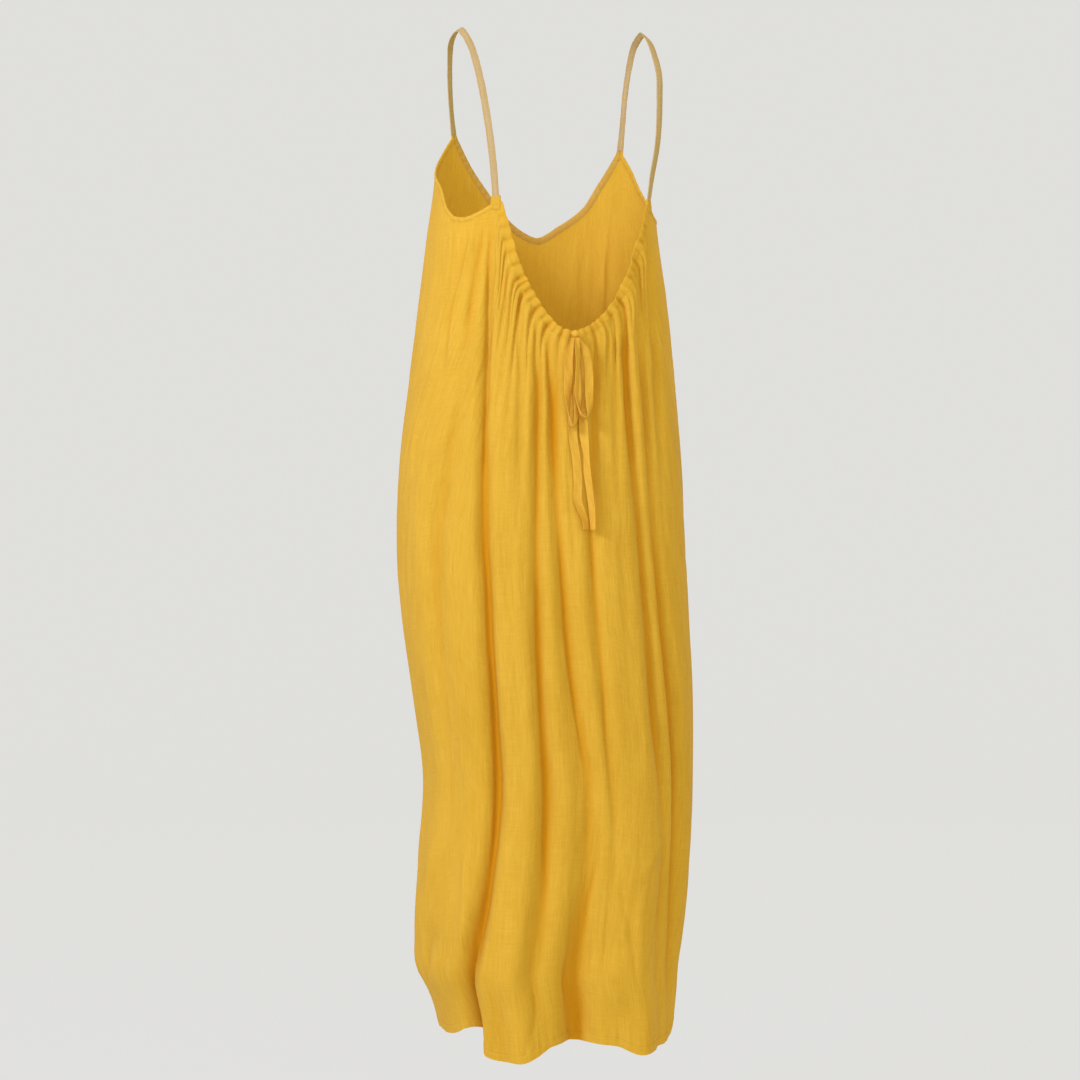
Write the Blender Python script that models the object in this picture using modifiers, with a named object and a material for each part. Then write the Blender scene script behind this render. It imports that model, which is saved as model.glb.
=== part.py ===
"""Maxi slip sundress in light gauze, in its worn shape with nobody in it.

Metres, +Z up, the front towards -Y and the wearer's left towards +X. The origin is midway between
the tops of the two shoulder straps, where the wearer's shoulders hold the dress up.

Every piece of cloth is laid out on one drape: a ring of rounded sections from the bust to the hem,
with the folds pressed into it. A place on the drape is a bearing (0 the wearer's left side, 90 the
centre back, -90 the centre front, in degrees) and a height.
"""

import math
from collections import namedtuple

import bpy
import numpy as np

# Sizes of the cloth
CLOTH = 0.0015
BINDING_CLOTH = 0.0024
CASING_CLOTH = 0.0028
CASING_PUCKER = 0.0012
SEAM_GAP = 0.0003
CASING_GAP = 0.0008  # the puckered casing needs more
BINDING_WIDTH = 0.008
CASING_WIDTH = 0.010
STRAP_WIDTH = 0.009
STRAP_CLOTH = 0.0022
STRAP_GAP = 0.0004  # between a strap's end and the bindings under it
TIE_WIDTH = 0.011
TIE_CLOTH = 0.0014
STRAP_SEAT = 0.009  # how far above its corner a binding ends, under the strap
CALM_TOP = -0.20  # above this height the cloth is too taut for folds
CALM_LENGTH = 0.10

# Gathers of the back scoop
GATHERS = 26
GATHER_DEPTH = 0.0012
GATHER_FADE = 0.060  # how far below the casing the gathers have died away
GATHER_PUFF = 0.0025  # how far the gathered cloth stands out just below the casing

GATHER_CALM = 4  # the gathers grow over this many columns from each end of the scoop

# Steps of the grids
PANEL_ROWS = 26
ROW_CROWDING = 1.35  # above 1, the rows crowd towards the top edge
FAN_END = 0.40  # the share of a column's length over which the columns spread evenly
FRONT_ARMHOLE_STEPS = 9
FRONT_NECK_STEPS = 22
BACK_ARMHOLE_LEFT_STEPS = 6
BACK_ARMHOLE_RIGHT_STEPS = 3
PANEL_STEPS_A_GATHER = 2
CASING_STEPS_A_GATHER = 4
BINDING_ROWS = 3
CASING_ROWS = 3
STRIP_STEP = 0.009

# Finishes
CLOTH_COLOUR = (0.70, 0.385, 0.052)
TRIM_COLOUR = (0.72, 0.43, 0.085)
ROUGHNESS = 0.85

# The drape's sections: plan outlines of the dress, each widest at centre_y
SQUARENESS = 2.4  # 2 is an ellipse
Section = namedtuple("Section", "height centre_x centre_y half_width front back")
SECTIONS = (
    Section(-0.10, 0.009, -0.018, 0.131, 0.080, 0.122),
    Section(-0.20, 0.009, -0.018, 0.137, 0.080, 0.134),
    Section(-0.26, 0.011, -0.016, 0.144, 0.083, 0.138),
    Section(-0.34, 0.011, -0.012, 0.155, 0.088, 0.137),
    Section(-0.44, 0.013, -0.006, 0.166, 0.098, 0.136),
    Section(-0.54, 0.016, 0.000, 0.176, 0.112, 0.138),
    Section(-0.64, 0.016, 0.004, 0.180, 0.124, 0.141),
    Section(-0.74, 0.010, 0.004, 0.179, 0.129, 0.144),
    Section(-0.84, 0.000, 0.002, 0.174, 0.132, 0.146),
    Section(-0.94, -0.0065, 0.000, 0.1675, 0.135, 0.147),
    Section(-1.04, -0.001, 0.000, 0.169, 0.138, 0.146),
    Section(-1.14, 0.006, 0.000, 0.166, 0.138, 0.143),
    Section(-1.175, 0.0075, 0.000, 0.1625, 0.137, 0.141),
    Section(-1.20, 0.002, 0.000, 0.155, 0.135, 0.138),
    Section(-1.28, -0.006, 0.000, 0.138, 0.128, 0.130),
)

# The left side seam's bearing; the right one mirrors it
Seam = namedtuple("Seam", "height bearing")
SIDE_SEAM = (
    Seam(-0.24, 29.0),
    Seam(-0.33, 30.0),
    Seam(-0.38, 26.0),
    Seam(-0.44, 19.5),
    Seam(-0.53, 9.0),
    Seam(-0.70, 0.0),
    Seam(-1.28, -2.0),
)

# Folds: bearing and depth inwards at each station's height, and half width at the top and the hem.
# A negative depth is a ridge that stands outwards.
FOLD_STATIONS = (-0.27, -0.45, -0.65, -0.85, -1.05, -1.27)
Fold = namedtuple("Fold", "name bearings depths_mm top_width_mm hem_width_mm")
FOLDS = (
    Fold("back_left", (52.0, 50.0, 51.0, 49.0, 47.5, 34.0), (6, 9, 11, 15, 18, 30), 8, 11),
    Fold("flank_left", (46.0, 41.0, 30.0, 26.0, 25.0, 26.0), (3, 3, 8, 6, 3, 0), 9, 22),
    Fold("yoke_left", (60.0, 56.0, 56.0, 56.0, 56.0, 56.0), (4, 1, 0, 0, 0, 0), 6, 8),
    Fold("yoke_middle", (66.0, 66.0, 67.0, 67.0, 67.0, 67.0), (4, 4, 0, 0, 0, 0), 6, 8),
    Fold("back_inner", (70.5, 74.0, 74.5, 70.5, 71.5, 66.0), (2, 7, 8, 11, 9, 2), 7, 12),
    Fold("back_centre", (76.0, 81.0, 85.7, 87.5, 93.0, 88.0), (3, 7, 8, 11, 12, 32), 7, 20),
    Fold("under_tie", (104.0, 105.0, 101.5, 101.0, 106.0, 106.0), (0, 5, 6, 5, 3, 0), 7, 10),
    Fold("yoke_right", (111.0, 114.0, 116.0, 116.0, 116.0, 116.0), (4, 2, 0, 0, 0, 0), 5, 8),
    Fold("back_right", (116.0, 122.0, 127.5, 127.0, 133.0, 138.0), (4, 7, 8, 9, 6, 3), 7, 12),
    Fold("blade_right", (128.0, 132.5, 135.5, 138.7, 143.0, 150.0), (4, 7, 8, 13, 15, 3), 7, 14),
    Fold("flank_right", (138.0, 140.0, 141.0, 148.0, 154.0, 158.0), (4, 5, 2, 0, 0, 0), 7, 10),
    Fold("lobe_edge", (46.0, 46.0, 46.0, 46.0, 50.0, 43.0), (0, 0, 0, 0, -3, -13), 9, 11),
    Fold("lobe_left", (66.0, 64.0, 62.0, 60.0, 60.0, 60.0), (0, 0, 0, -3, -8, -26), 12, 24),
    Fold("lobe_right", (118.0, 118.0, 118.0, 118.0, 120.0, 123.0), (0, 0, 0, 0, -4, -16), 12, 22),
    Fold("front_left", (-20.0, -22.0, -24.0, -26.0, -27.0, -26.0), (1, 4, 7, 10, 13, 20), 10, 17),
    Fold("bust_left", (-42.0, -44.0, -47.0, -49.0, -50.0, -52.0), (0, 4, 6, 9, 12, 22), 9, 16),
    Fold("front_inner", (-62.0, -64.0, -66.0, -70.0, -73.0, -75.0), (0, 3, 5, 9, 11, 20), 10, 17),
    Fold("front_centre", (-86.0, -85.0, -88.0, -91.0, -94.0, -97.0), (0, 4, 6, 8, 12, 22), 9, 18),
    Fold("front_right", (-107.0, -108.0, -110.0, -113.0, -116.0, -119.0), (0, 3, 6, 9, 11, 18), 10, 17),
    Fold("bust_right", (-128.0, -130.0, -132.0, -134.0, -137.0, -140.0), (0, 4, 6, 9, 12, 22), 9, 16),
    Fold("side_right", (-154.0, -155.0, -157.0, -158.0, -160.0, -162.0), (1, 4, 7, 9, 12, 18), 10, 17),
)

# The hem, once round, which rises where a fold carries it inwards
Edge = namedtuple("Edge", "bearing height")
HEM = (
    Edge(-180.0, -1.252),
    Edge(-162.0, -1.240),
    Edge(-151.0, -1.261),
    Edge(-140.0, -1.245),
    Edge(-129.0, -1.265),
    Edge(-119.0, -1.249),
    Edge(-108.0, -1.268),
    Edge(-97.0, -1.249),
    Edge(-86.0, -1.269),
    Edge(-75.0, -1.248),
    Edge(-63.0, -1.267),
    Edge(-52.0, -1.246),
    Edge(-39.0, -1.263),
    Edge(-26.0, -1.244),
    Edge(-12.0, -1.250),
    Edge(0.0, -1.2485),
    Edge(6.0, -1.2505),
    Edge(14.0, -1.2495),
    Edge(24.0, -1.244),
    Edge(30.0, -1.238),
    Edge(35.0, -1.237),
    Edge(39.0, -1.246),
    Edge(43.0, -1.2585),
    Edge(46.0, -1.2660),
    Edge(50.0, -1.2712),
    Edge(54.0, -1.2720),
    Edge(58.0, -1.2712),
    Edge(64.0, -1.271),
    Edge(70.0, -1.264),
    Edge(75.0, -1.256),
    Edge(82.0, -1.252),
    Edge(100.0, -1.255),
    Edge(108.0, -1.259),
    Edge(116.0, -1.269),
    Edge(124.0, -1.267),
    Edge(140.0, -1.265),
    Edge(150.0, -1.264),
    Edge(160.0, -1.248),
    Edge(170.0, -1.254),
    Edge(180.0, -1.252),
)

# Stitch lines, where the bound and gathered edges are sewn to the panels
FRONT_ARMHOLE_LEFT = (
    Edge(29.0, -0.2495),
    Edge(22.0, -0.2370),
    Edge(12.0, -0.2110),
    Edge(-7.0, -0.1850),
    Edge(-20.0, -0.1600),
    Edge(-30.0, -0.1340),
)
FRONT_NECK = (
    Edge(-30.0, -0.1340),
    Edge(-42.5, -0.1760),
    Edge(-52.0, -0.1990),
    Edge(-66.5, -0.2290),
    Edge(-84.0, -0.2500),
    Edge(-100.0, -0.2590),
    Edge(-121.0, -0.2420),
    Edge(-137.0, -0.2190),
    Edge(-147.0, -0.1865),
    Edge(-153.0, -0.1660),
    Edge(-157.8, -0.1490),
)
FRONT_ARMHOLE_RIGHT = (
    Edge(-157.8, -0.1490),
    Edge(-163.3, -0.1690),
    Edge(-169.3, -0.1935),
    Edge(-178.5, -0.2160),
    Edge(-189.0, -0.2350),
    Edge(-199.5, -0.2445),
    Edge(-209.0, -0.2450),
)
BACK_ARMHOLE_LEFT = (
    Edge(29.0, -0.2495),
    Edge(38.0, -0.2525),
    Edge(46.0, -0.2460),
    Edge(53.5, -0.2360),
)
BACK_SCOOP = (
    Edge(53.5, -0.2360),
    Edge(57.5, -0.2660),
    Edge(62.0, -0.3060),
    Edge(69.0, -0.3450),
    Edge(77.0, -0.3750),
    Edge(85.0, -0.3930),
    Edge(93.5, -0.3970),
    Edge(103.0, -0.3890),
    Edge(112.5, -0.3690),
    Edge(121.0, -0.3400),
    Edge(129.0, -0.2960),
    Edge(135.5, -0.2660),
    Edge(142.0, -0.2315),
)
BACK_ARMHOLE_RIGHT = (
    Edge(142.0, -0.2315),
    Edge(146.5, -0.2410),
    Edge(151.0, -0.2450),
)

# Centre lines of flat strips: place, the turn of the strip's width about the vertical, in degrees from
# the left-right axis, and the tilt of that width from level
Turned = namedtuple("Turned", "x y z turn tilt", defaults=(0,))
STRAPS = {
    "strap_left": (
        Turned(0.1134, -0.0740, -0.0995, 42),
        Turned(0.1172, -0.0670, -0.0624, 38),
        Turned(0.1192, -0.0580, -0.0340, 36),
        Turned(0.1213, -0.0400, -0.0140, 25, -15),
        Turned(0.1196, -0.0180, -0.0045, 10, -32),
        Turned(0.1186, 0.0000, -0.0045, 0, -38),
        Turned(0.1178, 0.0200, -0.0130, 0, -32),
        Turned(0.1172, 0.0400, -0.0245, -2, -20),
        Turned(0.1160, 0.0560, -0.0374, -5, -8),
        Turned(0.1124, 0.0700, -0.0620, -10),
        Turned(0.1089, 0.0800, -0.0883, -15),
        Turned(0.1034, 0.0930, -0.1390, -25),
        Turned(0.0990, 0.0985, -0.1850, -32),
    ),
    "strap_right": (
        Turned(-0.1104, -0.0660, -0.1060, -58),
        Turned(-0.1131, -0.0625, -0.0650, -56),
        Turned(-0.1155, -0.0550, -0.0370, -50),
        Turned(-0.1170, -0.0400, -0.0135, -36, 15),
        Turned(-0.1176, -0.0180, -0.0038, -12, 32),
        Turned(-0.1176, 0.0000, -0.0011, 0, 38),
        Turned(-0.1176, 0.0190, -0.0080, 5, 32),
        Turned(-0.1178, 0.0350, -0.0176, 10, 20),
        Turned(-0.1190, 0.0500, -0.0345, 16, 8),
        Turned(-0.1215, 0.0630, -0.0620, 20),
        Turned(-0.1208, 0.0675, -0.0890, 22),
        Turned(-0.1156, 0.0750, -0.1512, 32),
        Turned(-0.1082, 0.0745, -0.1950, 40),
    ),
}

# The drawstring's bow: its knot, and the strips that hang from the knot's lower face
KNOT_CENTRE = (0.0062, 0.1390, -0.3922)
KNOT_SIZE = (0.0140, 0.0125, 0.0096)
KNOT_ROUNDING = 0.003
TIE_SQUEEZE = 0.020  # the length over which a strip widens below the knot
TIES = {
    "tie_loop_left": (
        Turned(0.0100, 0.1408, -0.3973, 0),
        Turned(0.0125, 0.1418, -0.4045, 0),
        Turned(0.0150, 0.1425, -0.4130, 0),
        Turned(0.0160, 0.1428, -0.4259, 0),
        Turned(0.0158, 0.1430, -0.4416, 0),
        Turned(0.0170, 0.1438, -0.4598, 20),
        Turned(0.0172, 0.1454, -0.4780, 50),
        Turned(0.0162, 0.1470, -0.4937, 75),
        Turned(0.0130, 0.1474, -0.5050, 88),
        Turned(0.0090, 0.1466, -0.5020, 75),
        Turned(0.0062, 0.1448, -0.4930, 50),
        Turned(0.0045, 0.1424, -0.4800, 25),
        Turned(0.0042, 0.1403, -0.4650, 10),
        Turned(0.0050, 0.1392, -0.4450, 0),
        Turned(0.0062, 0.1387, -0.4220, 0),
        Turned(0.0075, 0.1383, -0.4060, 0),
        Turned(0.0080, 0.1380, -0.3973, 0),
    ),
    "tie_loop_right": (
        Turned(0.0060, 0.1434, -0.3973, 0),
        Turned(0.0062, 0.1448, -0.4050, 20),
        Turned(0.0060, 0.1462, -0.4130, 40),
        Turned(0.0056, 0.1470, -0.4259, 50),
        Turned(0.0062, 0.1477, -0.4477, 50),
        Turned(0.0076, 0.1485, -0.4658, 55),
        Turned(0.0055, 0.1491, -0.4816, 70),
        Turned(0.0015, 0.1492, -0.4910, 82),
        Turned(-0.0035, 0.1488, -0.4945, 90),
        Turned(-0.0080, 0.1472, -0.4905, 70),
        Turned(-0.0098, 0.1452, -0.4810, 35),
        Turned(-0.0098, 0.1434, -0.4658, 10),
        Turned(-0.0100, 0.1421, -0.4477, 0),
        Turned(-0.0087, 0.1411, -0.4259, 0),
        Turned(-0.0050, 0.1405, -0.4090, 0),
        Turned(0.0000, 0.1402, -0.4020, 0),
        Turned(0.0030, 0.1402, -0.3973, 0),
    ),
    "tie_tail_left": (
        Turned(0.0085, 0.1358, -0.3973, 0),
        Turned(0.0100, 0.1361, -0.4120, 0),
        Turned(0.0108, 0.1362, -0.4300, 0),
        Turned(0.0112, 0.1363, -0.4500, 5),
        Turned(0.0108, 0.1367, -0.4720, 5),
        Turned(0.0098, 0.1374, -0.4960, 0),
        Turned(0.0090, 0.1388, -0.5204, 0),
        Turned(0.0065, 0.1414, -0.5385, 0),
        Turned(0.0047, 0.1430, -0.5567, 0),
        Turned(0.0044, 0.1442, -0.5749, 0),
        Turned(0.0053, 0.1456, -0.5930, 5),
        Turned(0.0020, 0.1472, -0.6050, 20),
        Turned(-0.0028, 0.1486, -0.6170, 35),
        Turned(-0.0040, 0.1494, -0.6290, 40),
    ),
    "tie_tail_right": (
        Turned(0.0020, 0.1358, -0.3973, 0),
        Turned(-0.0010, 0.1361, -0.4130, 0),
        Turned(-0.0025, 0.1363, -0.4300, 0),
        Turned(-0.0033, 0.1364, -0.4500, 0),
        Turned(-0.0037, 0.1368, -0.4720, 0),
        Turned(-0.0035, 0.1378, -0.4950, -5),
        Turned(-0.0040, 0.1410, -0.5170, -25),
        Turned(-0.0055, 0.1446, -0.5385, -60),
        Turned(-0.0065, 0.1460, -0.5580, -50),
        Turned(-0.0095, 0.1475, -0.5800, -55),
        Turned(-0.0118, 0.1490, -0.6030, -60),
        Turned(-0.0120, 0.1510, -0.6290, -70),
    ),
}


# ---------------------------------------------------------------- the drape

def smooth(stations, values, at):
    """Values on a smooth curve through the stations, level with the end values beyond them."""
    order = np.argsort(stations)
    x = np.asarray(stations, float)[order]
    y = np.asarray(values, float)[order]
    slope = np.gradient(y, x)
    at = np.clip(at, x[0], x[-1])
    k = np.clip(np.searchsorted(x, at, side="right") - 1, 0, len(x) - 2)
    step = x[k + 1] - x[k]
    t = (at - x[k]) / step
    return (
        (2 * t**3 - 3 * t**2 + 1) * y[k]
        + (t**3 - 2 * t**2 + t) * step * slope[k]
        + (3 * t**2 - 2 * t**3) * y[k + 1]
        + (t**3 - t**2) * step * slope[k + 1]
    )


def ease(t):
    t = np.clip(t, 0.0, 1.0)
    return t * t * (3 - 2 * t)


def column(rows, field):
    return [getattr(row, field) for row in rows]


def section_value(field, height):
    return smooth(column(SECTIONS, "height"), column(SECTIONS, field), height)


def side_seam(height):
    return smooth(column(SIDE_SEAM, "height"), column(SIDE_SEAM, "bearing"), height)


def plain_place(bearing, height):
    """Place on the unfolded drape, and the level direction that points out of it."""
    turn = np.radians(bearing)
    across = section_value("half_width", height)
    along = np.where(
        np.sin(turn) >= 0, section_value("back", height), section_value("front", height)
    )
    reach = (
        (np.abs(np.cos(turn)) / across) ** SQUARENESS + (np.abs(np.sin(turn)) / along) ** SQUARENESS
    ) ** (-1 / SQUARENESS)
    x = reach * np.cos(turn)
    y = reach * np.sin(turn)
    out_x = np.sign(x) * np.abs(x) ** (SQUARENESS - 1) / across**SQUARENESS
    out_y = np.sign(y) * np.abs(y) ** (SQUARENESS - 1) / along**SQUARENESS
    length = np.hypot(out_x, out_y)
    place = (section_value("centre_x", height) + x, section_value("centre_y", height) + y)
    return place, (out_x / length, out_y / length), reach


def fold_depth(bearing, height, reach):
    """How far inwards the folds press the cloth, in metres."""
    depth = np.zeros(np.broadcast(bearing, height).shape)
    down = (FOLD_STATIONS[0] - height) / (FOLD_STATIONS[0] - FOLD_STATIONS[-1])
    for fold in FOLDS:
        centre = smooth(FOLD_STATIONS, fold.bearings, height)
        deepest = smooth(FOLD_STATIONS, fold.depths_mm, height) / 1000
        half = (fold.top_width_mm + (fold.hem_width_mm - fold.top_width_mm) * ease(down)) / 1000
        away = (bearing - centre + 180) % 360 - 180
        depth += deepest * np.exp(-((np.radians(away) * reach / half) ** 2))
    return depth * ease((CALM_TOP - height) / CALM_LENGTH)


def drape(bearing, height, out=0.0):
    """Points of the folded drape, or of a surface that lies `out` metres outside it."""
    bearing, height = np.broadcast_arrays(np.asarray(bearing, float), np.asarray(height, float))
    (x, y), (out_x, out_y), reach = plain_place(bearing, height)
    shift = out - fold_depth(bearing, height, reach)
    return np.stack([x + out_x * shift, y + out_y * shift, height], axis=-1)


def hem_height(bearing):
    return smooth(column(HEM, "bearing"), column(HEM, "height"), (bearing + 180) % 360 - 180)


# ---------------------------------------------------------------- edges

def stitched(rows, steps):
    """Points evenly spaced along a smooth line through the rows of a stitch line."""
    bearing = np.array(column(rows, "bearing"))
    height = np.array(column(rows, "height"))
    places = drape(bearing, height)
    run = np.concatenate([[0.0], np.cumsum(np.linalg.norm(np.diff(places, axis=0), axis=1))])
    at = np.linspace(0.0, run[-1], steps + 1)
    return smooth(run, bearing, at), smooth(run, height, at)


def joined(*lines):
    """One line from several that share their end points."""
    first = lines[0]
    rest = [(bearing[1:], height[1:]) for bearing, height in lines[1:]]
    return (
        np.concatenate([first[0]] + [line[0] for line in rest]),
        np.concatenate([first[1]] + [line[1] for line in rest]),
    )


def metres_a_degree(bearing, height):
    """The girth of one degree of bearing."""
    turn = 0.5
    step = drape(bearing + turn, height) - drape(bearing - turn, height)
    return np.linalg.norm(step, axis=-1) / (2 * turn)


def beside(line, distance):
    """The line shifted square to itself over the cloth, to its upper side."""
    bearing, height = line
    scale = metres_a_degree(bearing, height)
    along = np.gradient(bearing) * scale
    up = np.gradient(height)
    length = np.hypot(along, up)
    side = np.sign(bearing[-1] - bearing[0])
    return (
        bearing - side * up / length * distance / scale,
        height + side * along / length * distance,
    )


# ---------------------------------------------------------------- building

def material(name, colour, roughness):
    finish = bpy.data.materials.new(name)
    finish.use_nodes = True
    shader = finish.node_tree.nodes["Principled BSDF"]
    shader.inputs["Base Color"].default_value = (*colour, 1.0)
    shader.inputs["Roughness"].default_value = roughness
    shader.inputs["Metallic"].default_value = 0.0
    return finish


def add_piece(name, mesh, colour):
    mesh.shade_smooth()
    mesh.materials.append(material(name, colour, ROUGHNESS))
    piece = bpy.data.objects.new(name, mesh)
    collection.objects.link(piece)
    return piece


def sheet(name, points, thickness, colour):
    """A wall of cloth whose middle surface runs through a grid of points."""
    rows, columns = points.shape[:2]
    corner = np.arange(rows * columns).reshape(rows, columns)
    faces = np.stack([corner[:-1, :-1], corner[:-1, 1:], corner[1:, 1:], corner[1:, :-1]], axis=-1)
    mesh = bpy.data.meshes.new(name)
    mesh.from_pydata(points.reshape(-1, 3).tolist(), [], faces.reshape(-1, 4).tolist())
    piece = add_piece(name, mesh, colour)
    wall = piece.modifiers.new("wall", "SOLIDIFY")
    wall.thickness = thickness
    wall.offset = 0.0
    return piece


def panel(name, edge, half_turn, lift):
    """A panel from its stitch line to the hem, between the two side seams.

    half_turn is 180 degrees for the back and -180 for the front. lift says how far each point
    stands out from the drape, from how far it lies below the edge.
    """
    top_bearing, top_height = edge
    down = (np.linspace(0, 1, PANEL_ROWS + 1) ** ROW_CROWDING)[:, None]
    even = np.linspace(0, 1, len(top_bearing))
    seam = side_seam(top_height)
    share = (top_bearing - seam) / (half_turn - 2 * seam)
    share[[0, -1]] = 0.0, 1.0
    share = share + (even - share) * ease(down / FAN_END)
    seam = side_seam(SIDE_SEAM[-1].height)
    hem = hem_height(seam + even * (half_turn - 2 * seam))
    height = top_height + (hem - top_height) * down
    seam = side_seam(height)
    bearing = seam + share * (half_turn - 2 * seam)
    half_gap = SEAM_GAP / 2 / metres_a_degree(bearing, height) * np.sign(half_turn)
    bearing[:, 0] += half_gap[:, 0]
    bearing[:, -1] -= half_gap[:, -1]
    return sheet(name, drape(bearing, height, lift(top_height - height)), CLOTH, CLOTH_COLOUR)


def taut(below):
    return 0.0


def gathered(below):
    """The gathers under the casing: every second column stands out, and they die away downwards."""
    place = np.arange(below.shape[1]) - BACK_ARMHOLE_LEFT_STEPS
    last = PANEL_STEPS_A_GATHER * GATHERS
    inside = ease(np.minimum(place, last - place) / GATHER_CALM)
    wave = np.where(place % PANEL_STEPS_A_GATHER == 0, -GATHER_DEPTH, GATHER_DEPTH)
    drop = np.clip(below / GATHER_FADE, 0, 1)
    return inside * (wave * (1 - drop) ** 1.5 + GATHER_PUFF * np.sin(math.pi * drop))


def seat(line, end, width, levels):
    """A binding's end turned up level under a strap, beside the corner that the line ends at."""
    bearing, height = line
    corner = bearing[end]
    neighbour = bearing[1] if end == 0 else bearing[-2]
    level = height[end] + STRAP_SEAT
    across = SEAM_GAP * 0.7 + (width - SEAM_GAP * 0.7) * levels
    turned = corner + np.sign(neighbour - corner) * across / metres_a_degree(corner, level)
    return turned, np.full(len(levels), level)


def binding_strip(line, width, rows, gap):
    """Bearings and heights over a binding, from its stitch line up to its finished edge."""
    levels = np.linspace(0, 1, rows)
    strips = [beside(line, gap + (width - gap) * level) for level in levels]
    bearing = np.array([strip[0] for strip in strips])
    height = np.array([strip[1] for strip in strips])
    first = seat(line, 0, STRAP_WIDTH / 2, levels)
    last = seat(line, -1, STRAP_WIDTH / 2, levels)
    bearing = np.column_stack([first[0], bearing, last[0]])
    height = np.column_stack([first[1], height, last[1]])
    return bearing, height


def binding(name, line):
    bearing, height = binding_strip(line, BINDING_WIDTH, BINDING_ROWS, SEAM_GAP)
    return sheet(name, drape(bearing, height), BINDING_CLOTH, TRIM_COLOUR)


def casing(name, line):
    """The drawstring's channel, puckered in step with the gathers below it."""
    bearing, height = binding_strip(line, CASING_WIDTH, CASING_ROWS, CASING_GAP)
    place = np.arange(bearing.shape[1]) - 1
    last = CASING_STEPS_A_GATHER * GATHERS
    calm = GATHER_CALM * CASING_STEPS_A_GATHER / PANEL_STEPS_A_GATHER
    inside = ease(np.minimum(place, last - place) / calm)
    wave = -np.cos(2 * math.pi * place / CASING_STEPS_A_GATHER)
    softer_up = np.linspace(1.0, 0.5, CASING_ROWS)[:, None]
    pucker = CASING_PUCKER * inside * wave * softer_up
    return sheet(name, drape(bearing, height, pucker), CASING_CLOTH, CLOTH_COLOUR)


def strap_end(corner):
    """A strap's end, level on the bindings that meet over this corner of the stitch lines."""
    level = corner.height + STRAP_SEAT + STRAP_GAP
    x, y, z = drape(corner.bearing, level)
    along = drape(corner.bearing + 0.5, level) - drape(corner.bearing - 0.5, level)
    turn = math.degrees(math.atan(along[1] / along[0]))
    return Turned(x, y, z, turn)


def strip(name, route, width, thickness, colour, squeezed_ends=0):
    """A flat strip along a route of turned places.

    squeezed_ends says how many of its ends, from its start, are squeezed to half their width.
    """
    rows = np.array([tuple(place) for place in route])
    lengths = np.linalg.norm(np.diff(rows[:, :3], axis=0), axis=1)
    run = np.concatenate([[0.0], np.cumsum(lengths)])
    at = np.linspace(0.0, run[-1], round(run[-1] / STRIP_STEP) + 1)
    centre = np.stack([smooth(run, rows[:, axis], at) for axis in range(3)], axis=-1)
    turn, tilt = (np.radians(smooth(run, rows[:, field], at)) for field in (3, 4))
    half = np.full(len(at), width / 2)
    if squeezed_ends > 0:
        half *= 0.5 + 0.5 * ease(at / TIE_SQUEEZE)
    if squeezed_ends > 1:
        half *= 0.5 + 0.5 * ease((run[-1] - at) / TIE_SQUEEZE)
    level = np.cos(tilt)
    across = np.stack([np.cos(turn) * level, np.sin(turn) * level, np.sin(tilt)], axis=-1) * half[:, None]
    return sheet(name, np.array([centre - across, centre + across]), thickness, colour)


def knot(name):
    bpy.ops.mesh.primitive_cube_add(size=1.0, location=KNOT_CENTRE, scale=KNOT_SIZE)
    piece = bpy.context.object
    bpy.ops.object.transform_apply(location=False, rotation=False, scale=True)
    mesh = piece.data
    bpy.data.objects.remove(piece)
    piece = add_piece(name, mesh, TRIM_COLOUR)
    piece.location = KNOT_CENTRE
    rounded = piece.modifiers.new("rounded", "BEVEL")
    rounded.width = KNOT_ROUNDING
    rounded.segments = 3
    return piece


def turned_right(line):
    """A line of the right side given by the bearings that run on from the front's."""
    bearing, height = line
    return bearing[::-1] - 360, height[::-1]


def backwards(line):
    bearing, height = line
    return bearing[::-1], height[::-1]


def build_panels():
    front_left = stitched(FRONT_ARMHOLE_LEFT, FRONT_ARMHOLE_STEPS)
    front_neck = stitched(FRONT_NECK, FRONT_NECK_STEPS)
    front_right = stitched(FRONT_ARMHOLE_RIGHT, FRONT_ARMHOLE_STEPS)
    back_left = stitched(BACK_ARMHOLE_LEFT, BACK_ARMHOLE_LEFT_STEPS)
    scoop = stitched(BACK_SCOOP, PANEL_STEPS_A_GATHER * GATHERS)
    back_right = stitched(BACK_ARMHOLE_RIGHT, BACK_ARMHOLE_RIGHT_STEPS)
    panel("front_panel", joined(front_left, front_neck, front_right), -180, taut)
    panel("back_panel", joined(back_left, scoop, back_right), 180, gathered)
    binding("neck_binding", front_neck)
    binding("armhole_binding_left", joined(backwards(front_left), back_left))
    binding("armhole_binding_right", joined(front_right, turned_right(back_right)))
    casing("back_casing", stitched(BACK_SCOOP, CASING_STEPS_A_GATHER * GATHERS))


def build_straps():
    ends = {
        "strap_left": (FRONT_NECK[0], BACK_SCOOP[0]),
        "strap_right": (FRONT_NECK[-1], BACK_SCOOP[-1]),
    }
    for name, (front_corner, back_corner) in ends.items():
        route = (strap_end(front_corner), *STRAPS[name], strap_end(back_corner))
        strip(name, route, STRAP_WIDTH, STRAP_CLOTH, TRIM_COLOUR)


def build_bow():
    knot("tie_knot")
    for name, route in TIES.items():
        ends_in_knot = 2 if "loop" in name else 1
        strip(name, route, TIE_WIDTH, TIE_CLOTH, TRIM_COLOUR, ends_in_knot)


for leftover in list(bpy.data.objects):
    bpy.data.objects.remove(leftover)
collection = bpy.data.collections.new("sundress")
bpy.context.scene.collection.children.link(collection)
build_panels()
build_straps()
build_bow()
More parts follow.
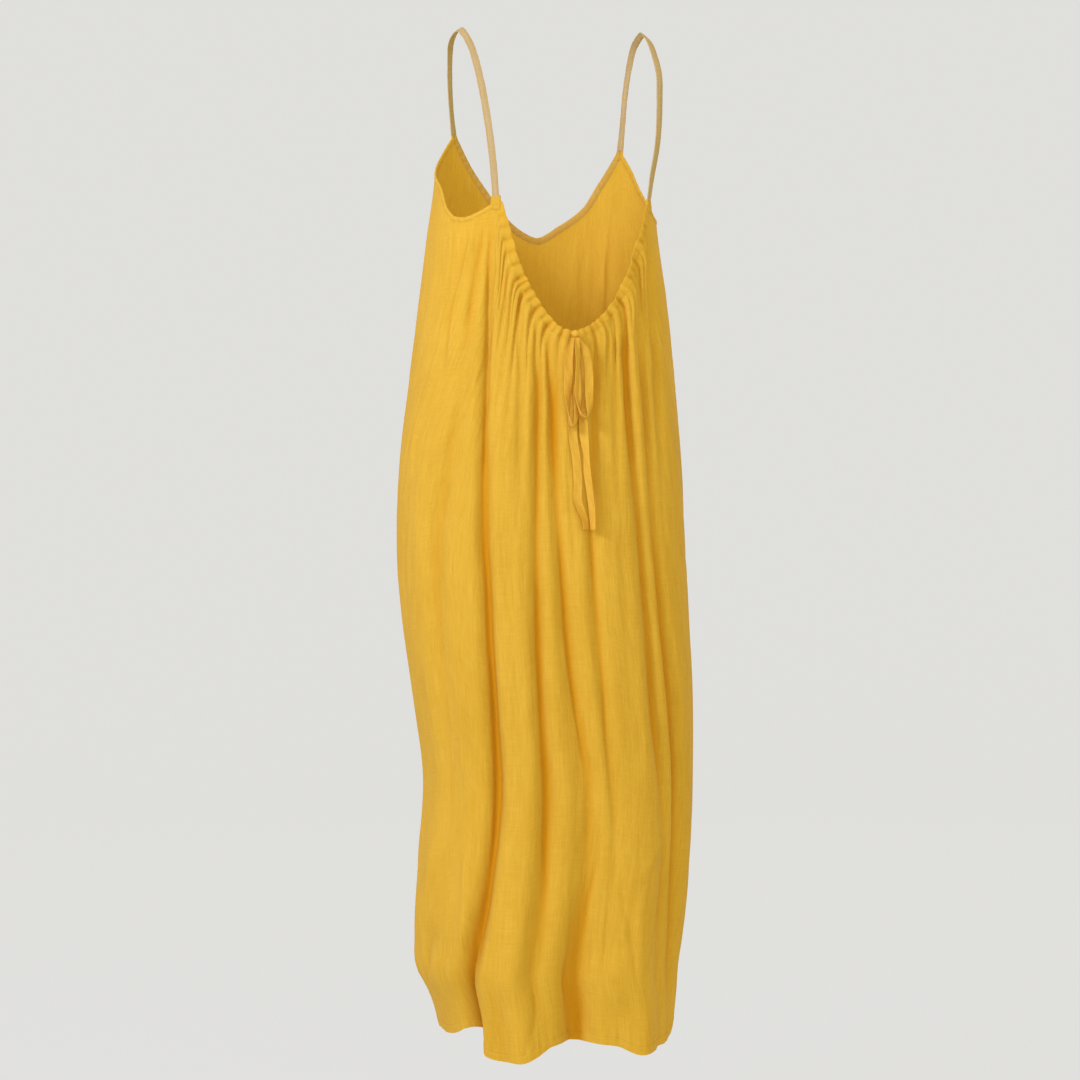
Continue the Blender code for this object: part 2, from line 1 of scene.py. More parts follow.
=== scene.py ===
"""Looks of the maxi slip sundress: mustard gauze in its worn shape, seen from behind.

Metres, in the frame's own axes: +Z up, the front towards -Y, the wearer's left towards +X, and the
origin midway between the tops of the straps.

Every piece of cloth lies on one drape: a ring of rounded sections from the bust to the hem, with the
folds pressed into it. A place on the drape is a bearing (0 the wearer's left side, 90 the centre
back, -90 the centre front, in degrees) and a height. The panels add their gathers, creases and
ripples to it, square to the cloth.
"""

import math
from collections import namedtuple

import bmesh
import bpy
import numpy as np
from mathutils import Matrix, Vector


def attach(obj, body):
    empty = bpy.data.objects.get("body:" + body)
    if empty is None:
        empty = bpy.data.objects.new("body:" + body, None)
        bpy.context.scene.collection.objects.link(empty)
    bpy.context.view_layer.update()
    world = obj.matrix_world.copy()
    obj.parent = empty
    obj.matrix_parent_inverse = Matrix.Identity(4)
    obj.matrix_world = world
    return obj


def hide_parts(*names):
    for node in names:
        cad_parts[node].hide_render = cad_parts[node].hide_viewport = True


def table(kind, *rows):
    """Rows of values as named tuples of one kind."""
    return tuple(kind(*row) for row in rows)


# Sizes of the cloth
SHELL = 0.0009
HEM_BAND = 0.011
HEM_CLOTH = 0.0019
BINDING_CLOTH = 0.0023
CASING_CLOTH = 0.0015
BINDING_WIDTH = 0.008
ARMHOLE_BINDING_WIDTH = 0.0054
BINDING_UNDER = 0.0007  # how far below the stitch line a binding reaches
BINDING_WAVE = 0.00018
CASING_WIDTH = 0.010
CASING_UNDER = 0.0010
STRAP_WIDTH = 0.009
STRAP_CLOTH = 0.0021
STRAP_GAP = 0.0004
SEAM_GAP = 0.0003
SIDE_SEAM_GAP = 0.00003
TIE_WIDTH = 0.011
TIE_CLOTH = 0.0011
CASING_END_LENGTH = 0.019
CASING_END_MARGIN = 0.0020  # how far past the strap's edges a casing's end reaches
CASING_END_COVER = 0.0007  # and how thick it lies on the strap
STRAP_SEAT = 0.009  # how far above its corner a binding ends, under the strap
SEAT_INSET = SEAM_GAP * 0.7  # and how far beside that corner its lower edge lies there
CALM_TOP = -0.20  # above this height the cloth is too taut for folds
CALM_LENGTH = 0.10
SEAM_GROOVE = 0.0011  # how far a side seam draws the cloth in
SEAM_GROOVE_REACH = 0.0024
SEAM_RIDGE = 0.0005  # and how far the cloth beside it stands out
SEAM_RIDGE_PLACE = 0.006
SEAM_RIDGE_REACH = 0.003
HEM_PUCKER = 0.00035
HEM_PUCKER_REACH = 0.006
HEM_PRESS = 0.0006  # how much thinner the hem's stitches press it
HEM_PRESS_REACH = 0.0008
HEM_TURN = 0.0006  # half the height over which the hem's double cloth begins
SEAM_CALM = 0.014  # how near a side seam the creases and ripples die out

# Steps of the grids, in steps along each stretch of a panel's top edge
GATHERS = 26  # places along the scoop are counted in the solid's even gathers
BACK_ARMHOLE_LEFT_STEPS = 30
BACK_SCOOP_STEPS = 260
BACK_ARMHOLE_RIGHT_STEPS = 15
FRONT_ARMHOLE_STEPS = 63
FRONT_NECK_STEPS = 154
PANEL_ROWS = 139
ROW_CROWDING = 1.55  # above 1, the rows crowd towards the top edge
FAN_END = 0.50  # the share of a column's length over which the columns spread evenly
FAN_SHARPNESS = 2.5
HEM_LEAD = 0.0012  # how far above the hem's rows the panel's own rows end
HEM_STITCH = 0.0106
HEM_ROWS = (0.0125, 0.0118, 0.0112, HEM_STITCH, 0.0098, 0.0080, 0.0055, 0.0030, 0.0012, 0.0004, 0.0)
TAPE_STEP = 0.0016
TAPE_SIDES = 24

DRESS_MIDDLE = (0.005, 0.0, 0.0)  # outwards is away from the upright line through here

# The drape's sections: plan outlines of the dress, each widest at centre_y
SQUARENESS = 2.4  # 2 is an ellipse
Section = namedtuple("Section", "height centre_x centre_y half_width front back")
SECTIONS = table(
    Section,
    (-0.1, 0.009, -0.018, 0.131, 0.08, 0.122), (-0.2, 0.009, -0.018, 0.137, 0.08, 0.134),
    (-0.26, 0.011, -0.016, 0.144, 0.083, 0.138), (-0.34, 0.011, -0.012, 0.155, 0.088, 0.137),
    (-0.44, 0.013, -0.006, 0.166, 0.098, 0.136), (-0.54, 0.016, 0, 0.176, 0.112, 0.138),
    (-0.64, 0.016, 0.004, 0.18, 0.124, 0.141), (-0.74, 0.01, 0.004, 0.179, 0.129, 0.144),
    (-0.84, 0, 0.002, 0.174, 0.132, 0.146), (-0.94, -0.0065, 0, 0.1675, 0.135, 0.147),
    (-1.04, -0.001, 0, 0.169, 0.138, 0.146), (-1.14, 0.006, 0, 0.166, 0.138, 0.143),
    (-1.175, 0.0075, 0, 0.1625, 0.137, 0.141), (-1.2, 0.002, 0, 0.155, 0.135, 0.138),
    (-1.28, -0.006, 0, 0.138, 0.128, 0.13),
)

# The left side seam; the right one mirrors it
Edge = namedtuple("Edge", "bearing height")
SIDE_SEAM = table(
    Edge,
    (29, -0.24), (30, -0.33), (26, -0.38), (19.5, -0.44), (9, -0.53), (0, -0.7), (-2, -1.28),
)

# Folds: bearing and depth inwards at each station's height, and half width at the top and the hem.
# A negative depth is a ridge that stands outwards.
FOLD_STATIONS = (-0.27, -0.45, -0.65, -0.85, -1.05, -1.27)
Fold = namedtuple("Fold", "name bearings depths_mm top_width_mm hem_width_mm")
FOLDS = table(
    Fold,
    ("back_left", (52, 50, 51, 49, 47.5, 34), (6, 9, 11, 15, 18, 30), 8, 11),
    ("flank_left", (46, 41, 30, 26, 25, 26), (3, 3, 8, 6, 3, 0), 9, 22),
    ("yoke_left", (60, 56, 56, 56, 56, 56), (4, 1, 0, 0, 0, 0), 6, 8),
    ("yoke_middle", (66, 66, 67, 67, 67, 67), (4, 4, 0, 0, 0, 0), 6, 8),
    ("back_inner", (70.5, 74, 74.5, 70.5, 71.5, 66), (2, 7, 8, 11, 9, 2), 7, 12),
    ("back_centre", (76, 81, 85.7, 87.5, 93, 88), (3, 7, 8, 11, 12, 32), 7, 20),
    ("under_tie", (104, 105, 101.5, 101, 106, 106), (0, 5, 6, 5, 3, 0), 7, 10),
    ("yoke_right", (111, 114, 116, 116, 116, 116), (4, 2, 0, 0, 0, 0), 5, 8),
    ("back_right", (116, 122, 127.5, 127, 133, 138), (4, 7, 8, 9, 6, 3), 7, 12),
    ("blade_right", (128, 132.5, 135.5, 138.7, 143, 150), (4, 7, 8, 13, 15, 3), 7, 14),
    ("flank_right", (138, 140, 141, 148, 154, 158), (4, 5, 2, 0, 0, 0), 7, 10),
    ("lobe_edge", (46, 46, 46, 46, 50, 43), (0, 0, 0, 0, -3, -13), 9, 11),
    ("lobe_left", (66, 64, 62, 60, 60, 60), (0, 0, 0, -3, -8, -26), 12, 24),
    ("lobe_right", (118, 118, 118, 118, 120, 123), (0, 0, 0, 0, -4, -16), 12, 22),
    ("front_left", (-20, -22, -24, -26, -27, -26), (1, 4, 7, 10, 13, 20), 10, 17),
    ("bust_left", (-42, -44, -47, -49, -50, -52), (0, 4, 6, 9, 12, 22), 9, 16),
    ("front_inner", (-62, -64, -66, -70, -73, -75), (0, 3, 5, 9, 11, 20), 10, 17),
    ("front_centre", (-86, -85, -88, -91, -94, -97), (0, 4, 6, 8, 12, 22), 9, 18),
    ("front_right", (-107, -108, -110, -113, -116, -119), (0, 3, 6, 9, 11, 18), 10, 17),
    ("bust_right", (-128, -130, -132, -134, -137, -140), (0, 4, 6, 9, 12, 22), 9, 16),
    ("side_right", (-154, -155, -157, -158, -160, -162), (1, 4, 7, 9, 12, 18), 10, 17),
)

# The hem, once round, which rises where a fold carries it inwards
HEM = table(
    Edge,
    (-180, -1.252), (-162, -1.24), (-151, -1.261), (-140, -1.245), (-129, -1.265), (-119, -1.249),
    (-108, -1.268), (-97, -1.249), (-86, -1.269), (-75, -1.248), (-63, -1.267), (-52, -1.246),
    (-39, -1.263), (-26, -1.244), (-12, -1.25), (0, -1.2485), (6, -1.2505), (14, -1.2495), (24, -1.244),
    (30, -1.238), (35, -1.237), (39, -1.246), (43, -1.2585), (46, -1.266), (50, -1.2712), (54, -1.272),
    (58, -1.2712), (64, -1.271), (70, -1.264), (75, -1.256), (82, -1.252), (100, -1.255), (108, -1.259),
    (116, -1.269), (124, -1.267), (140, -1.265), (150, -1.264), (160, -1.248), (170, -1.254),
    (180, -1.252),
)

# Stitch lines, where the bound and gathered edges are sewn to the panels
FRONT_ARMHOLE_LEFT = table(
    Edge,
    (29, -0.2495), (22, -0.237), (12, -0.211), (-7, -0.185), (-20, -0.16), (-30, -0.134),
)
FRONT_NECK = table(
    Edge,
    (-30, -0.134), (-42.5, -0.176), (-52, -0.199), (-66.5, -0.229), (-84, -0.25), (-100, -0.259),
    (-121, -0.242), (-137, -0.219), (-147, -0.1865), (-153, -0.166), (-157.8, -0.149),
)
FRONT_ARMHOLE_RIGHT = table(
    Edge,
    (-157.8, -0.149), (-163.3, -0.169), (-169.3, -0.1935), (-178.5, -0.216), (-189, -0.235),
    (-199.5, -0.2445), (-209, -0.245),
)
BACK_ARMHOLE_LEFT = table(
    Edge,
    (29, -0.2495), (38, -0.2525), (46, -0.246), (53.5, -0.236),
)
BACK_SCOOP = table(
    Edge,
    (53.5, -0.236), (57.5, -0.266), (62, -0.306), (69, -0.345), (77, -0.375), (85, -0.393),
    (93.5, -0.397), (103, -0.389), (112.5, -0.369), (121, -0.34), (129, -0.296), (135.5, -0.266),
    (142, -0.2315),
)
BACK_ARMHOLE_RIGHT = table(
    Edge,
    (142, -0.2315), (146.5, -0.241), (151, -0.245),
)

# Gathers of the back scoop: the place along it, from 0 at the left corner to GATHERS, how deep the
# cloth folds in, how far down that reaches and how wide it is at the stitch line, in those places
Gather = namedtuple("Gather", "place depth_mm reach_mm width")
GATHER_FOLDS = table(
    Gather,
    (0.9, 2.6, 110, 0.26), (1.8, 2, 70, 0.22), (2.75, 3.2, 120, 0.28), (3.8, 3, 150, 0.24),
    (4.85, 3.6, 215, 0.2), (5.9, 4.4, 340, 0.18), (6.4, 2.9, 160, 0.13), (7.05, 4.9, 270, 0.18),
    (7.8, 2.1, 90, 0.15), (8.6, 4.7, 270, 0.19), (9.4, 2.3, 70, 0.15), (10.1, 4.4, 215, 0.18),
    (10.75, 2.1, 80, 0.13), (11.4, 4.7, 235, 0.19), (12.2, 2.9, 125, 0.15), (12.85, 3.4, 180, 0.16),
    (13.5, 2.6, 110, 0.15), (14.15, 3.6, 235, 0.18), (14.7, 2.3, 65, 0.13), (15.25, 5.5, 135, 0.2),
    (16.15, 4.7, 290, 0.19), (17, 2.5, 110, 0.15), (17.6, 4.7, 305, 0.18), (18.3, 2.3, 65, 0.14),
    (18.95, 2.3, 145, 0.15), (19.7, 3.9, 270, 0.18), (20.4, 2.1, 80, 0.14), (21.15, 3.4, 125, 0.17),
    (22.05, 2.6, 180, 0.16), (22.95, 3.6, 250, 0.18), (23.65, 1.8, 70, 0.14), (24.3, 2.9, 110, 0.17),
    (25.15, 1.8, 70, 0.15),
)
GATHER_RISE = 0.014  # how far below the casing a gather is deepest
GATHER_AT_CASING = 0.80  # its depth there, as a share of its deepest
GATHER_SPREAD = 0.080  # how far below the casing its width has doubled
GATHER_WIDEST = 2.6  # how many times wider a gather grows below the casing
GATHER_PUFF = 0.0020  # how far the gathered cloth stands out just below the casing
PUFF_LENGTH = 0.060
SQUARE_LEAD = 0.009  # the threads leave the casing square to it over about this length
LEAD_CALM = 0.090  # and less so within this length of the scoop's corners

PINCH_DEPTH_MM = 4.0  # a gather this deep or deeper pinches the casing fully
PINCH_WIDTH = 0.16  # how wide a pinch in the casing is, in places along it
SCALLOP_RISE = 0.0004  # how far the casing's upper edge rises between its pinches
SCALLOP_DIP = 0.0013  # and how far a pinch draws it down
GATHER_ROUNDNESS = 1.8  # 2 is round
GATHER_CALM = 1.5  # the gathers grow over this many places from the scoop's corners
GATHER_LIFT = 0.0011  # how far the cloth stands out against the casing
GATHER_LIFT_REACH = 0.05

CREASE_TOP_FADE = 0.30  # the share of its length over which a crease deepens, and dies away
CREASE_END_FADE = 0.35
CREASE_LEAN_REACH = 0.002
TROUGH_SHARPNESS = 1.3  # how fast a crease rises from its bottom: 1 is a V, 2 is round
RIDGE_SHARPNESS = 1.8

# How wide and how deep the narrow and the wide folds are that take painted shade, a deeper colour,
# how much of it each gives, and how much of it the cloth's ridges take on their inner side
PAINTED_SHADE_NARROW = 0.007
PAINTED_SHADE_NARROW_DEPTH = 0.0026
PAINTED_SHADE_WIDE = 0.026
PAINTED_SHADE_WIDE_DEPTH = 0.0100
PAINTED_SHADE_NARROW_SHARE = 0.45
PAINTED_SHADE_WIDE_SHARE = 0.36
PAINTED_SHADE_INSIDE_SHARE = 0.7

# Creases one by one: how deep and how wide each is, its lean, and its line from its top down, as
# millimetres below the origin and bearings. A negative depth is a ridge. A lean above 0 makes its
# higher-bearing side the gentler one.
Crease = namedtuple("Crease", "depth_mm width_mm lean line")


def crease_table(*rows):
    """Creases from rows of their depth, width and lean, and then the places of their line."""
    return tuple(Crease(*row[:3], row[3:]) for row in rows)


BACK_CREASES = crease_table(
    (4.6, 3.4, 0.3, (238, 52.5), (270, 51.5), (303, 50.5), (400, 50), (520, 50), (620, 50.5)),
    (3.8, 5.2, 0.4, (560, 50.3), (714, 51), (810, 49.5), (930, 47.5), (1030, 47.5), (1100, 46), (1150, 43)),
    (3.6, 4.4, 0.2, (240, 49.5), (281, 46.5), (330, 43), (420, 40)),
    (-3, 3.2, 0, (225, 46), (290, 40.5), (350, 34.5), (480, 33)),
    (2.6, 3.8, 0.2, (235, 42), (300, 37.5), (370, 31.5), (460, 29.5)),
    (2.4, 4.2, 0, (260, 37), (330, 32.5), (430, 26)),
    (2, 4.5, 0, (300, 22), (380, 17.5), (470, 11)),
    (2.2, 4.5, 0, (300, 59.2), (335, 57.5), (375, 56)),
    (2, 3.6, 0.3, (330, 66.3), (370, 65.2), (410, 65.2), (460, 66.8)),
    (2.6, 3.6, 0.4, (350, 71.5), (424, 73.5), (520, 75), (593, 75), (670, 73.8)),
    (2.8, 4.4, 0.3, (620, 74.6), (714, 73), (835, 70.5), (980, 70.5), (1076, 73), (1149, 72.5), (1197, 69)),
    (2.8, 3.8, 0.4, (365, 77), (410, 79), (460, 81.5), (540, 84), (617, 85.5)),
    (3.2, 4.4, 0.5, (580, 85), (700, 86.2), (780, 86), (835, 87), (919, 90), (960, 93)),
    (2.6, 5, 0, (960, 95.5), (1016, 98), (1076, 95), (1113, 94.5), (1150, 93)),
    (2, 3.6, 0.2, (500, 88.5), (560, 90), (617, 91.5), (720, 93.3)),
    (2.6, 4.2, 0.4, (570, 99.5), (617, 101), (774, 102), (919, 101), (1000, 104.5)),
    (2.4, 3.6, 0.3, (365, 111.5), (390, 114), (430, 116.5)),
    (2.4, 3.6, 0.4, (352, 119), (410, 121.2), (470, 123), (605, 126.5)),
    (2.8, 4.4, 0.3, (550, 125.3), (650, 127.2), (750, 128), (907, 127), (1000, 132)),
    (2.6, 3.8, 0.3, (345, 128.6), (436, 132), (533, 133.5), (620, 135)),
    (3, 4.6, 0.3, (580, 134.4), (690, 136), (810, 137.5), (907, 139.5), (956, 141.5), (1030, 143)),
    (3, 6, 0.5, (1020, 132), (1040, 133), (1100, 131), (1149, 127.5), (1185, 122.5)),
    (2.2, 4, 0, (285, 138), (340, 137), (388, 139), (436, 140), (520, 139)),
    (-2.6, 5, 0, (430, 16), (500, 14.5), (580, 13)),
    (-1.6, 6, 0, (460, 36), (510, 33.5), (560, 30.5)),
    (-1.6, 9, 0, (520, 21), (620, 19), (720, 18)),
    (2.2, 6.5, 0, (560, 31), (630, 27.5), (700, 26)),
    (-4, 7, 0.2, (990, 38.5), (1030, 37.5), (1125, 36), (1205, 26)),
    (6.5, 15, 0.3, (1105, 20), (1150, 13), (1195, 6)),
    (-3, 12, 0, (1000, 15), (1080, 10), (1150, 2)),
    (-5, 8, 0, (1105, 45.5), (1150, 43.5), (1190, 42.5), (1235, 43)),
    (2.4, 3, 0, (1170, 69.5), (1190, 68.5), (1225, 66), (1270, 60)),
    (1.5, 2.6, 0, (1060, 98), (1120, 97.5), (1180, 97)),
    (1.3, 2.4, 0, (1040, 101.5), (1110, 101), (1170, 100.5)),
    (1.4, 2.6, 0, (1070, 104.5), (1130, 104.5), (1190, 104)),
    (3.2, 6.5, 0.3, (1060, 87), (1100, 87.5), (1149, 87), (1245, 82)),
    (-4.5, 17, 0, (1135, 110), (1180, 110), (1225, 109)),
    (2.6, 5, 0.4, (1045, 107), (1090, 112), (1137, 117), (1209, 121)),
    (-3, 7, 0, (995, 133), (1020, 127.5), (1055, 118.5)),
    (-2.6, 16, 0, (1060, 61), (1140, 59.5), (1220, 57)),
    (1, 7, 0, (720, 62), (820, 60.5), (950, 59.5)),
    (-1.2, 8, 0, (600, 65), (720, 64.5), (800, 63)),
    (1.3, 6, 0, (660, 114), (760, 114.5), (880, 113)),
    (-1.4, 8, 0, (800, 120), (900, 118.5), (980, 118)),
    (1.4, 4.5, 0, (420, 108.5), (500, 109.5), (600, 110)),
)
FRONT_CREASES = crease_table(
    (1.4, 6, 0.2, (160, -35), (210, -39), (270, -41), (350, -43)),
    (1.2, 6, 0, (200, -24), (260, -23), (330, -21)),
    (1.4, 6, 0, (240, -13), (310, -11), (380, -9)),
    (1.4, 6.5, 0, (280, -55), (360, -57), (460, -60)),
    (1.2, 6, 0, (300, -72), (380, -73), (500, -75)),
    (1.5, 5, 0.3, (275, -93), (330, -94), (410, -92)),
    (1.2, 5, 0.3, (285, -111), (340, -112), (430, -113)),
    (3.8, 4.2, 0.3, (225, -150), (270, -147.5), (330, -144.5), (420, -141)),
    (1.6, 5, 0, (240, -131), (290, -130), (370, -128)),
    (1.4, 6, 0, (210, -156), (260, -155), (340, -154)),
    (1.4, 6, 0, (240, -170), (310, -171), (400, -172)),
    (2.4, 4.4, 0.3, (450, -22), (600, -23.5), (750, -25.5)),
    (3.4, 5, 0.3, (700, -24.5), (880, -26.5), (1050, -27), (1160, -26.5)),
    (2.2, 4.4, -0.3, (420, -43.5), (580, -46), (740, -48)),
    (3.4, 5, -0.3, (700, -47.5), (900, -49.5), (1100, -50.5)),
    (2.8, 4.8, 0.4, (520, -65), (700, -67.5), (920, -71), (1060, -73)),
    (2.4, 4.4, 0.3, (440, -85), (600, -87), (780, -90)),
    (3.2, 5, 0.3, (740, -89.5), (920, -92), (1120, -95)),
    (2.8, 4.8, -0.3, (500, -108.5), (660, -110), (860, -113), (1080, -116.5)),
    (2.4, 4.6, 0.3, (420, -130), (600, -131.5), (800, -133.5)),
    (3.4, 5.2, 0.3, (760, -133), (960, -135.5), (1150, -138.5)),
    (3, 5, -0.3, (440, -155), (620, -157), (860, -158), (1100, -160.5)),
    (-1.6, 9, 0, (560, -35), (680, -36), (840, -38)),
    (1.4, 6, 0, (620, -79), (780, -80), (900, -82)),
    (1.3, 6, 0, (500, -99), (620, -100), (800, -102)),
    (-1.6, 9, 0, (700, -123), (860, -125), (1000, -127)),
    (2.2, 7, 0, (950, -12), (1080, -13), (1200, -14)),
    (-2.2, 12, 0, (980, -62), (1100, -62), (1220, -63)),
    (1.8, 6, 0, (1000, -84), (1120, -85), (1240, -86)),
    (2, 6, 0, (1020, -107), (1130, -107), (1230, -108)),
    (1.8, 7, 0, (900, -147), (1050, -149), (1200, -151)),
    (1.8, 8, 0, (600, -176), (800, -178), (1000, -178)),
)

# Ripples that wander down the cloth: the spacing across, the length down and the height
Ripple = namedtuple("Ripple", "across down height_mm")
RIPPLES = table(
    Ripple,
    (0.017, 0.14, 0.26), (0.023, 0.2, 0.34), (0.031, 0.26, 0.42),
    (0.044, 0.34, 0.5), (0.07, 0.45, 0.6), (0.012, 0.09, 0.16),
)
RIPPLE_SEED = 11
RIPPLE_FADE = 0.09  # the length below the top edge over which the ripples grow

# Centre lines of flat strips: place, the turn of the strip's width about the vertical, in degrees from
# the left-right axis, and the tilt of that width from level
Turned = namedtuple("Turned", "x y z turn tilt", defaults=(0, 0))


def strip_route(*rows):
    """A strip's centre line, from rows of a place in millimetres and then the turn and tilt there."""
    return tuple(Turned(*(round(size / 1000, 6) for size in row[:3]), *row[3:]) for row in rows)


STRAPS = {
    "strap_left": strip_route(
        (113.4, -74, -99.5, 42), (117.2, -67, -62.4, 38), (119.2, -58, -34, 36),
        (121.3, -40, -14, 25, -15), (119.6, -18, -4.5, 10, -32), (118.6, 0, -4.5, 0, -38),
        (117.8, 20, -13, 0, -32), (117.2, 40, -24.5, -2, -20), (116, 56, -37.4, -5, -8),
        (112.4, 70, -62, -10), (108.9, 80, -88.3, -15), (103.4, 93, -139, -25), (99, 98.5, -185, -32),
    ),
    "strap_right": strip_route(
        (-110.4, -66, -106, -58), (-113.1, -62.5, -65, -56), (-115.5, -55, -37, -50),
        (-117, -40, -13.5, -36, 15), (-117.6, -18, -3.8, -12, 32), (-117.6, 0, -1.1, 0, 38),
        (-117.6, 19, -8, 5, 32), (-117.8, 35, -17.6, 10, 20), (-119, 50, -34.5, 16, 8),
        (-121.5, 63, -62, 20), (-120.8, 67.5, -89, 22), (-115.6, 75, -151.2, 32),
        (-108.2, 74.5, -195, 40),
    ),
}

# The drawstring's bow: its knot, and the strips that hang from the knot's lower face
KNOT_CENTRE = (0.0062, 0.1390, -0.3922)
KNOT_SIZE = (0.0116, 0.0118, 0.0092)
TIE_SQUEEZE = 0.020  # the length over which a strip widens below the knot
TIE_CURL = 0.0010
TIE_CURL_REST = 0.0006  # the curl that its waves swing about
TIE_CREASE = 0.0004
TIE_STEP = 0.0015
TIE_SIDES = 20
TIES = {
    "tie_loop_left": strip_route(
        (10, 140.8, -397.3), (12.5, 141.8, -404.5), (15, 142.5, -413), (16, 142.8, -425.9),
        (15.8, 143, -441.6), (17, 143.8, -459.8, 20), (17.2, 145.4, -478, 50), (16.2, 147, -493.7, 75),
        (13, 147.4, -505, 88), (9, 146.6, -502, 75), (6.2, 144.8, -493, 50), (4.5, 142.4, -480, 25),
        (4.2, 140.3, -465, 10), (5, 139.2, -445), (6.2, 138.7, -422), (7.5, 138.3, -406),
        (8, 138, -397.3),
    ),
    "tie_loop_right": strip_route(
        (6, 143.4, -397.3), (6.2, 144.8, -405, 20), (6, 146.2, -413, 40), (5.6, 147, -425.9, 50),
        (6.2, 147.7, -447.7, 50), (7.6, 148.5, -465.8, 55), (5.5, 149.1, -481.6, 70),
        (1.5, 149.2, -491, 82), (-3.5, 148.8, -494.5, 90), (-8, 147.2, -490.5, 70),
        (-9.8, 145.2, -481, 35), (-9.8, 143.4, -465.8, 10), (-10, 142.1, -447.7), (-8.7, 141.1, -425.9),
        (-5, 140.5, -409), (0, 140.2, -402), (3, 140.2, -397.3),
    ),
    "tie_tail_left": strip_route(
        (8.5, 135.8, -397.3), (10, 136.1, -412), (10.8, 136.2, -430), (11.2, 136.3, -450, 5),
        (10.8, 136.7, -472, 5), (9.8, 137.4, -496), (9, 138.8, -520.4), (6.5, 141.4, -538.5),
        (4.7, 143, -556.7), (4.4, 144.2, -574.9), (5.3, 145.6, -593, 5), (2, 147.2, -605, 20),
        (-2.8, 148.6, -617, 35), (-4, 149.4, -629, 40),
    ),
    "tie_tail_right": strip_route(
        (2, 135.8, -397.3), (-1, 136.1, -413), (-2.5, 136.3, -430), (-3.3, 136.4, -450),
        (-3.7, 136.8, -472), (-3.5, 137.8, -495, -5), (-4, 141, -517, -25), (-5.5, 144.6, -538.5, -60),
        (-6.5, 146, -558, -50), (-9.5, 147.5, -580, -55), (-11.8, 149, -603, -60), (-12, 151, -629, -70),
    ),
}

# Camera and studio
CAMERA_TURN = math.radians(14)  # from straight behind, towards the wearer's left
CAMERA_DISTANCE = 3.5
CAMERA_ASIDE = 0.01535
CAMERA_HEIGHT = -0.6415
CAMERA_LENS = 92.73
FLOOR_HEIGHT = -1.43
BOWL_RADIUS = 6.5
BOWL_COVE = 1.6
BOWL_TOP = 4.5
STAGE_COLOUR = (0.05, 0.05, 0.0497)
STAGE_GLOW = 0.70


# --- the drape

def smooth(stations, values, at):
    """Values on a smooth curve through the stations, level with the end values beyond them."""
    order = np.argsort(stations)
    x = np.asarray(stations, float)[order]
    y = np.asarray(values, float)[order]
    slope = np.gradient(y, x)
    at = np.clip(at, x[0], x[-1])
    k = np.clip(np.searchsorted(x, at, side="right") - 1, 0, len(x) - 2)
    step = x[k + 1] - x[k]
    t = (at - x[k]) / step
    return (
        (2 * t**3 - 3 * t**2 + 1) * y[k]
        + (t**3 - 2 * t**2 + t) * step * slope[k]
        + (3 * t**2 - 2 * t**3) * y[k + 1]
        + (t**3 - t**2) * step * slope[k + 1]
    )


def ease(t):
    """A soft step from 0 to 1."""
    t = np.clip(t, 0.0, 1.0)
    return t * t * (3 - 2 * t)


def bell(t, sharpness=2):
    """A soft bump: 1 at 0, and next to nothing past 2."""
    return np.exp(-np.abs(t) ** sharpness)


def unit(vectors):
    return vectors / np.linalg.norm(vectors, axis=-1, keepdims=True)


def column(rows, field):
    return [getattr(row, field) for row in rows]


def section_value(field, height):
    return smooth(column(SECTIONS, "height"), column(SECTIONS, field), height)


def side_seam(height):
    return smooth(column(SIDE_SEAM, "height"), column(SIDE_SEAM, "bearing"), height)


def plain_place(bearing, height):
    """Place on the unfolded drape, and the level direction that points out of it."""
    turn = np.radians(bearing)
    across = section_value("half_width", height)
    along = np.where(
        np.sin(turn) >= 0, section_value("back", height), section_value("front", height)
    )
    reach = (
        (np.abs(np.cos(turn)) / across) ** SQUARENESS + (np.abs(np.sin(turn)) / along) ** SQUARENESS
    ) ** (-1 / SQUARENESS)
    x = reach * np.cos(turn)
    y = reach * np.sin(turn)
    out_x = np.sign(x) * np.abs(x) ** (SQUARENESS - 1) / across**SQUARENESS
    out_y = np.sign(y) * np.abs(y) ** (SQUARENESS - 1) / along**SQUARENESS
    length = np.hypot(out_x, out_y)
    place = (section_value("centre_x", height) + x, section_value("centre_y", height) + y)
    return place, (out_x / length, out_y / length), reach


def fold_depth(bearing, height, reach):
    """How far inwards the folds press the cloth, in metres."""
    depth = np.zeros(np.broadcast(bearing, height).shape)
    down = (FOLD_STATIONS[0] - height) / (FOLD_STATIONS[0] - FOLD_STATIONS[-1])
    for fold in FOLDS:
        centre = smooth(FOLD_STATIONS, fold.bearings, height)
        deepest = smooth(FOLD_STATIONS, fold.depths_mm, height) / 1000
        half = (fold.top_width_mm + (fold.hem_width_mm - fold.top_width_mm) * ease(down)) / 1000
        away = (bearing - centre + 180) % 360 - 180
        depth += deepest * bell(np.radians(away) * reach / half)
    return depth * ease((CALM_TOP - height) / CALM_LENGTH)


def drape(bearing, height):
    """Points of the folded drape."""
    bearing, height = np.broadcast_arrays(np.asarray(bearing, float), np.asarray(height, float))
    (x, y), (out_x, out_y), reach = plain_place(bearing, height)
    depth = fold_depth(bearing, height, reach)
    return np.stack([x - out_x * depth, y - out_y * depth, height], axis=-1)


def hem_height(bearing):
    return smooth(column(HEM, "bearing"), column(HEM, "height"), (bearing + 180) % 360 - 180)


# --- edges

def run_along(places):
    """The length run along a line of places, at each of them."""
    steps = np.linalg.norm(np.diff(places, axis=0), axis=1)
    return np.concatenate([[0.0], np.cumsum(steps)])


